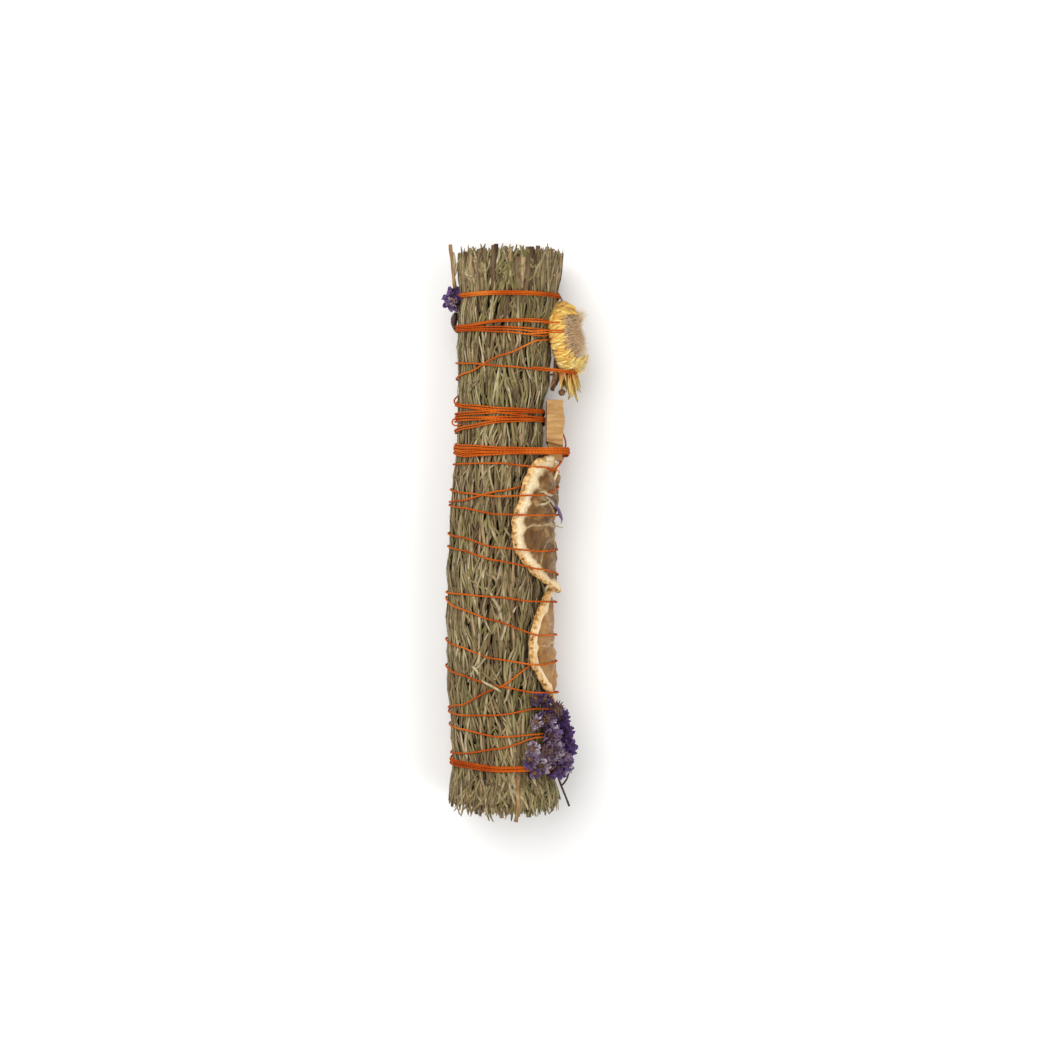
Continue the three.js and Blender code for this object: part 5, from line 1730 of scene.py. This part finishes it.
# %% Statice spray
STATICE_HEADS = [
    {"place": (43, -65.6, 0.4), "radius": 2.8, "count": 7, "tone": 0.34},
    {"place": (28, -66.6, 0.8), "radius": 3.2, "count": 5, "tone": 0.3, "scales": 30},
    {"place": (22, -69.6, 1.0), "radius": 3.4, "count": 3, "tone": 0.3, "scales": 60},
    {"place": (24, -73.4, 0.8), "radius": 3.4, "count": 4, "tone": 0.3, "scales": 50},
    {"place": (20, -70.2, 4.4), "radius": 4.4, "count": 0, "tone": 0.16, "scales": 170},
    {"place": (32, -73.8, 1.6), "radius": 4.4, "count": 2, "tone": 0.5, "scales": 130},
    {"place": (47, -74.8, 1.0), "radius": 2.8, "count": 7, "tone": 0.97, "scales": 4},
    {"place": (4, -74.5, 4.6), "radius": 3.8, "count": 14, "tone": 0.34, "scales": 6},
    {"place": (5, -79.4, 4.6), "radius": 4.4, "count": 18, "tone": 0.36, "scales": 6},
    {"place": (18, -80.2, 5.0), "radius": 1.8, "count": 3, "tone": 0.98, "scales": 2},
    {"place": (28, -80.0, 2.4), "radius": 4.4, "count": 9, "tone": 0.62, "scales": 90},
    {"place": (6, -85.6, 4.8), "radius": 5.0, "count": 22, "tone": 0.4, "scales": 10},
    {"place": (26, -86.4, 3.2), "radius": 4.4, "count": 16, "tone": 0.76, "scales": 70},
    {"place": (39, -86.2, 2.4), "radius": 4.0, "count": 0, "tone": 0.1, "scales": 140},
    {"place": (53, -85.0, 1.2), "radius": 3.2, "count": 12, "tone": 0.88, "scales": 14},
    {"place": (57, -89.6, 1.0), "radius": 3.2, "count": 12, "tone": 0.6, "scales": 6},
    {"place": (44, -91.0, 1.6), "radius": 3.8, "count": 14, "tone": 0.76, "scales": 36},
    {"place": (21, -91.6, 4.0), "radius": 5.2, "count": 28, "tone": 0.56, "scales": 8},
    {"place": (52, -94.4, 0.9), "radius": 2.4, "count": 8, "tone": 0.44, "scales": 10},
]
SCALE = blade_template("scale", [0.5, 0.9, 0.6, 0.1], (0.2, 0.6), 0.2, 0.05)
CRUMPLE = [(0.55, 0.5), (0.22, 1.6)]


def outward_frame(degrees):
    angle = math.radians(degrees)
    outward = Vector((math.cos(angle), 0, math.sin(angle)))
    return outward, Vector((-outward.z, 0, outward.x)), Vector((0, 1, 0))


def facing(place, direction, sizes):
    turned = direction.to_track_quat("Z", "Y").to_matrix().to_4x4()
    return Matrix.Translation(place) @ turned @ Matrix.Diagonal((*sizes, 1))


def add_head(bm, chance, head):
    outward, across, along = outward_frame(head["place"][0])
    centre = on_stick(*head["place"])
    core = bmesh.new()
    bmesh.ops.create_icosphere(core, subdivisions=2, radius=head["radius"] * 0.5)
    bmesh.ops.translate(core, vec=centre, verts=core.verts)
    set_material(core, 1)
    mark(core, "along", 0.0)
    add_bmesh(bm, core, 0.2)
    for i in range(head["count"]):
        direction = spread_way(outward, across, along, i, head["count"], head["radius"])
        direction += 0.25 * Vector([chance.uniform(-1, 1) for _ in range(3)])
        reach = head["radius"] * chance.uniform(0.8, 1.1)
        mouth = chance.uniform(1.2, 2.0) * head["radius"] / 4.4
        tone = min(1, max(0.2, chance.gauss(head["tone"], 0.13)))
        root = centre + direction * head["radius"] * 0.1
        matrix = facing(root, direction, (mouth, mouth * chance.uniform(0.5, 1.0), reach))
        add_copy(bm, chance.choice(FUNNELS), matrix, tone)
    scales = head.get("scales", 6)
    for i in range(scales):
        direction = spread_way(outward, across, along, i, scales, 1 + head["radius"])
        direction += 0.3 * Vector([chance.uniform(-1, 1) for _ in range(3)])
        turned = direction.to_track_quat("X", "Z").to_matrix().to_4x4()
        turned = turned @ Matrix.Rotation(chance.uniform(-3, 3), 4, "X")
        place = centre + 0.25 * head["radius"] * Vector([chance.uniform(-1, 1) for _ in range(3)])
        sized = Matrix.Diagonal((head["radius"] * chance.uniform(0.7, 1.0), 0.9, 0.9, 1))
        add_copy(bm, SCALE, Matrix.Translation(place) @ turned @ sized, chance.uniform(0.05, 0.24))


def spread_way(outward, across, along, number, count, start):
    """The way of one of many things that are spread over the outer side of a ball."""
    height = 1 - 1.15 * (number + 0.5) / count
    flat = math.sqrt(max(0, 1 - height * height))
    turn = number * GOLDEN + start
    return outward * height + across * flat * math.cos(turn) + along * flat * math.sin(turn)


def crumple(bm):
    for vert in bm.verts:
        place = vert.co.copy()
        for size, fineness in CRUMPLE:
            vert.co += size * noise.noise_vector(place * fineness)


def add_stalk(bm, places, sizes, sides, material_index):
    points = [on_stick(*place) for place in places]
    made = sweep(points, sizes, [Vector((0, 0.3, 1))] * len(points), sides)
    set_material(made, material_index)
    add_bmesh(bm, made, 0.4)


def statice_spray():
    chance = random.Random(90)
    bm = labelled_bmesh("along", "tone")
    for head in STATICE_HEADS:
        add_head(bm, chance, head)
    crumple(bm)
    main = [(24, -71 - 3 * i, 1.15 + 0.1 * math.sin(i)) for i in range(10)]
    add_stalk(bm, main, [0.8 + 0.1 * math.sin(i * 2) for i in range(10)], 7, 1)
    curl = [
        (14, -96.8, 2.4), (12, -98.6, 2.3), (10, -100.4, 2.3), (8, -103, 2.5),
        (7, -105.6, 2.8), (6, -109.2, 3.4),
    ]
    add_stalk(bm, curl, [0.5, 0.46, 0.48, 0.46, 0.44, 0.5], 6, 2)
    hook = [(10, -100.8, 2.4), (9, -100.0, 3.6), (9, -98.2, 5.3), (9, -96.4, 6.4), (9, -95.4, 6.7)]
    add_stalk(bm, hook, [0.42, 0.42, 0.4, 0.38, 0.36], 6, 2)
    return to_mesh(bm, "statice_papery")


def dark_finish():
    f = Finish("dark_dry_leaf")
    crease = f.noise(f.place(), 700, 3)
    colour = f.ramp(crease, [(0.3, 34, 20, 18), (0.6, 70, 42, 34), (0.85, 110, 78, 58)])
    return f.finish(base_color=colour, roughness=0.6, normal=f.bump(crease, 0.0004, 0.7))


def straw_finish():
    f = Finish("straw_stalk")
    fibres = f.noise(f.place((1, 0.08, 1)), 900, 3)
    colour = f.ramp(fibres, [(0.3, 110, 76, 42), (0.55, 156, 118, 72), (0.8, 204, 172, 122)])
    return f.finish(base_color=colour, roughness=0.8, normal=f.bump(fibres, 0.0003, 0.7))


dark_dry_leaf = dark_finish()
straw_stalk = straw_finish()
statice_materials = [papery_statice, dry_calyx, dark_dry_leaf]
add_piece(statice_spray(), "statice_papery", statice_materials, ["statice_spray"])

# %% [markdown]
# ## The lone floret on the left, and a pale stem
# On the left edge sits one more statice floret with its own straw-coloured stalk, and a dark curled leaf
# below it. A pale thick stem lies among the herbs at the lower end. They are made in the same ways: sweeps
# for the stalks and for the leaf, whose corners are drawn in, and the funnels for the floret.

# %% Left edge and pale stem
SIDE = 172


def side_stalk():
    bm = labelled_bmesh("tone")
    points = [on_stick(SIDE, 114.6 - 2.2 * i, 3.5 + 0.1 * math.sin(i * 1.3) - 0.28 * i) for i in range(9)]
    sizes = [0.78 + 0.1 * math.sin(i * 1.9) for i in range(9)]
    add_bmesh(bm, sweep(points, sizes, [Vector((0, 0, 1))] * 9, 7, lobes=0.1), 0.5)
    return to_mesh(bm, "side_stalk_straw")


def pale_stem():
    bm = labelled_bmesh("tone")
    points = [on_stick(71 + 1.3 * i, -95.4 - 2.9 * i, 0.1 + 0.12 * math.sin(i * 1.7)) for i in range(7)]
    sizes = [0.8 + 0.12 * math.sin(i * 2.3) for i in range(7)]
    add_bmesh(bm, sweep(points, sizes, [Vector((0, 0, 1))] * 7, 7, lobes=0.15), 0.5)
    return to_mesh(bm, "pale_stem_straw")


def side_floret():
    chance = random.Random(12)
    bm = labelled_bmesh("along", "tone")
    add_head(bm, chance, {"place": (SIDE, 92.8, 0.9), "radius": 4.2, "count": 22, "tone": 0.4})
    small = {"place": (SIDE - 12, 91.6, 2.4), "radius": 2.0, "count": 5, "tone": 0.8, "scales": 0}
    add_head(bm, chance, small)
    crumple(bm)
    return to_mesh(bm, "side_floret_papery")


def side_leaf():
    bm = labelled_bmesh("tone")
    points = [on_stick(SIDE, 87.6 - 1.3 * i, 0.5 + 0.6 * math.sin(i * 0.6)) for i in range(7)]
    sizes = [0.6, 1.3, 1.6, 1.5, 1.2, 0.8, 0.2]
    add_bmesh(bm, sweep(points, sizes, [Vector((0, 0, 1))] * 7, 6, lobes=0.4), 0.5)
    return to_mesh(bm, "side_leaf_curled")


add_piece(side_stalk(), "side_stalk_straw", [straw_stalk], ["side_floret_stalk"])
add_piece(pale_stem(), "pale_stem_straw", [straw_stalk], [])
add_piece(side_floret(), "side_floret_papery", [papery_statice, dry_calyx], ["side_floret"])
add_piece(curled_strip(), "curled_strip", [papery_statice], [])
add_piece(side_leaf(), "side_leaf_curled", [dark_dry_leaf], ["dark_leaf"])
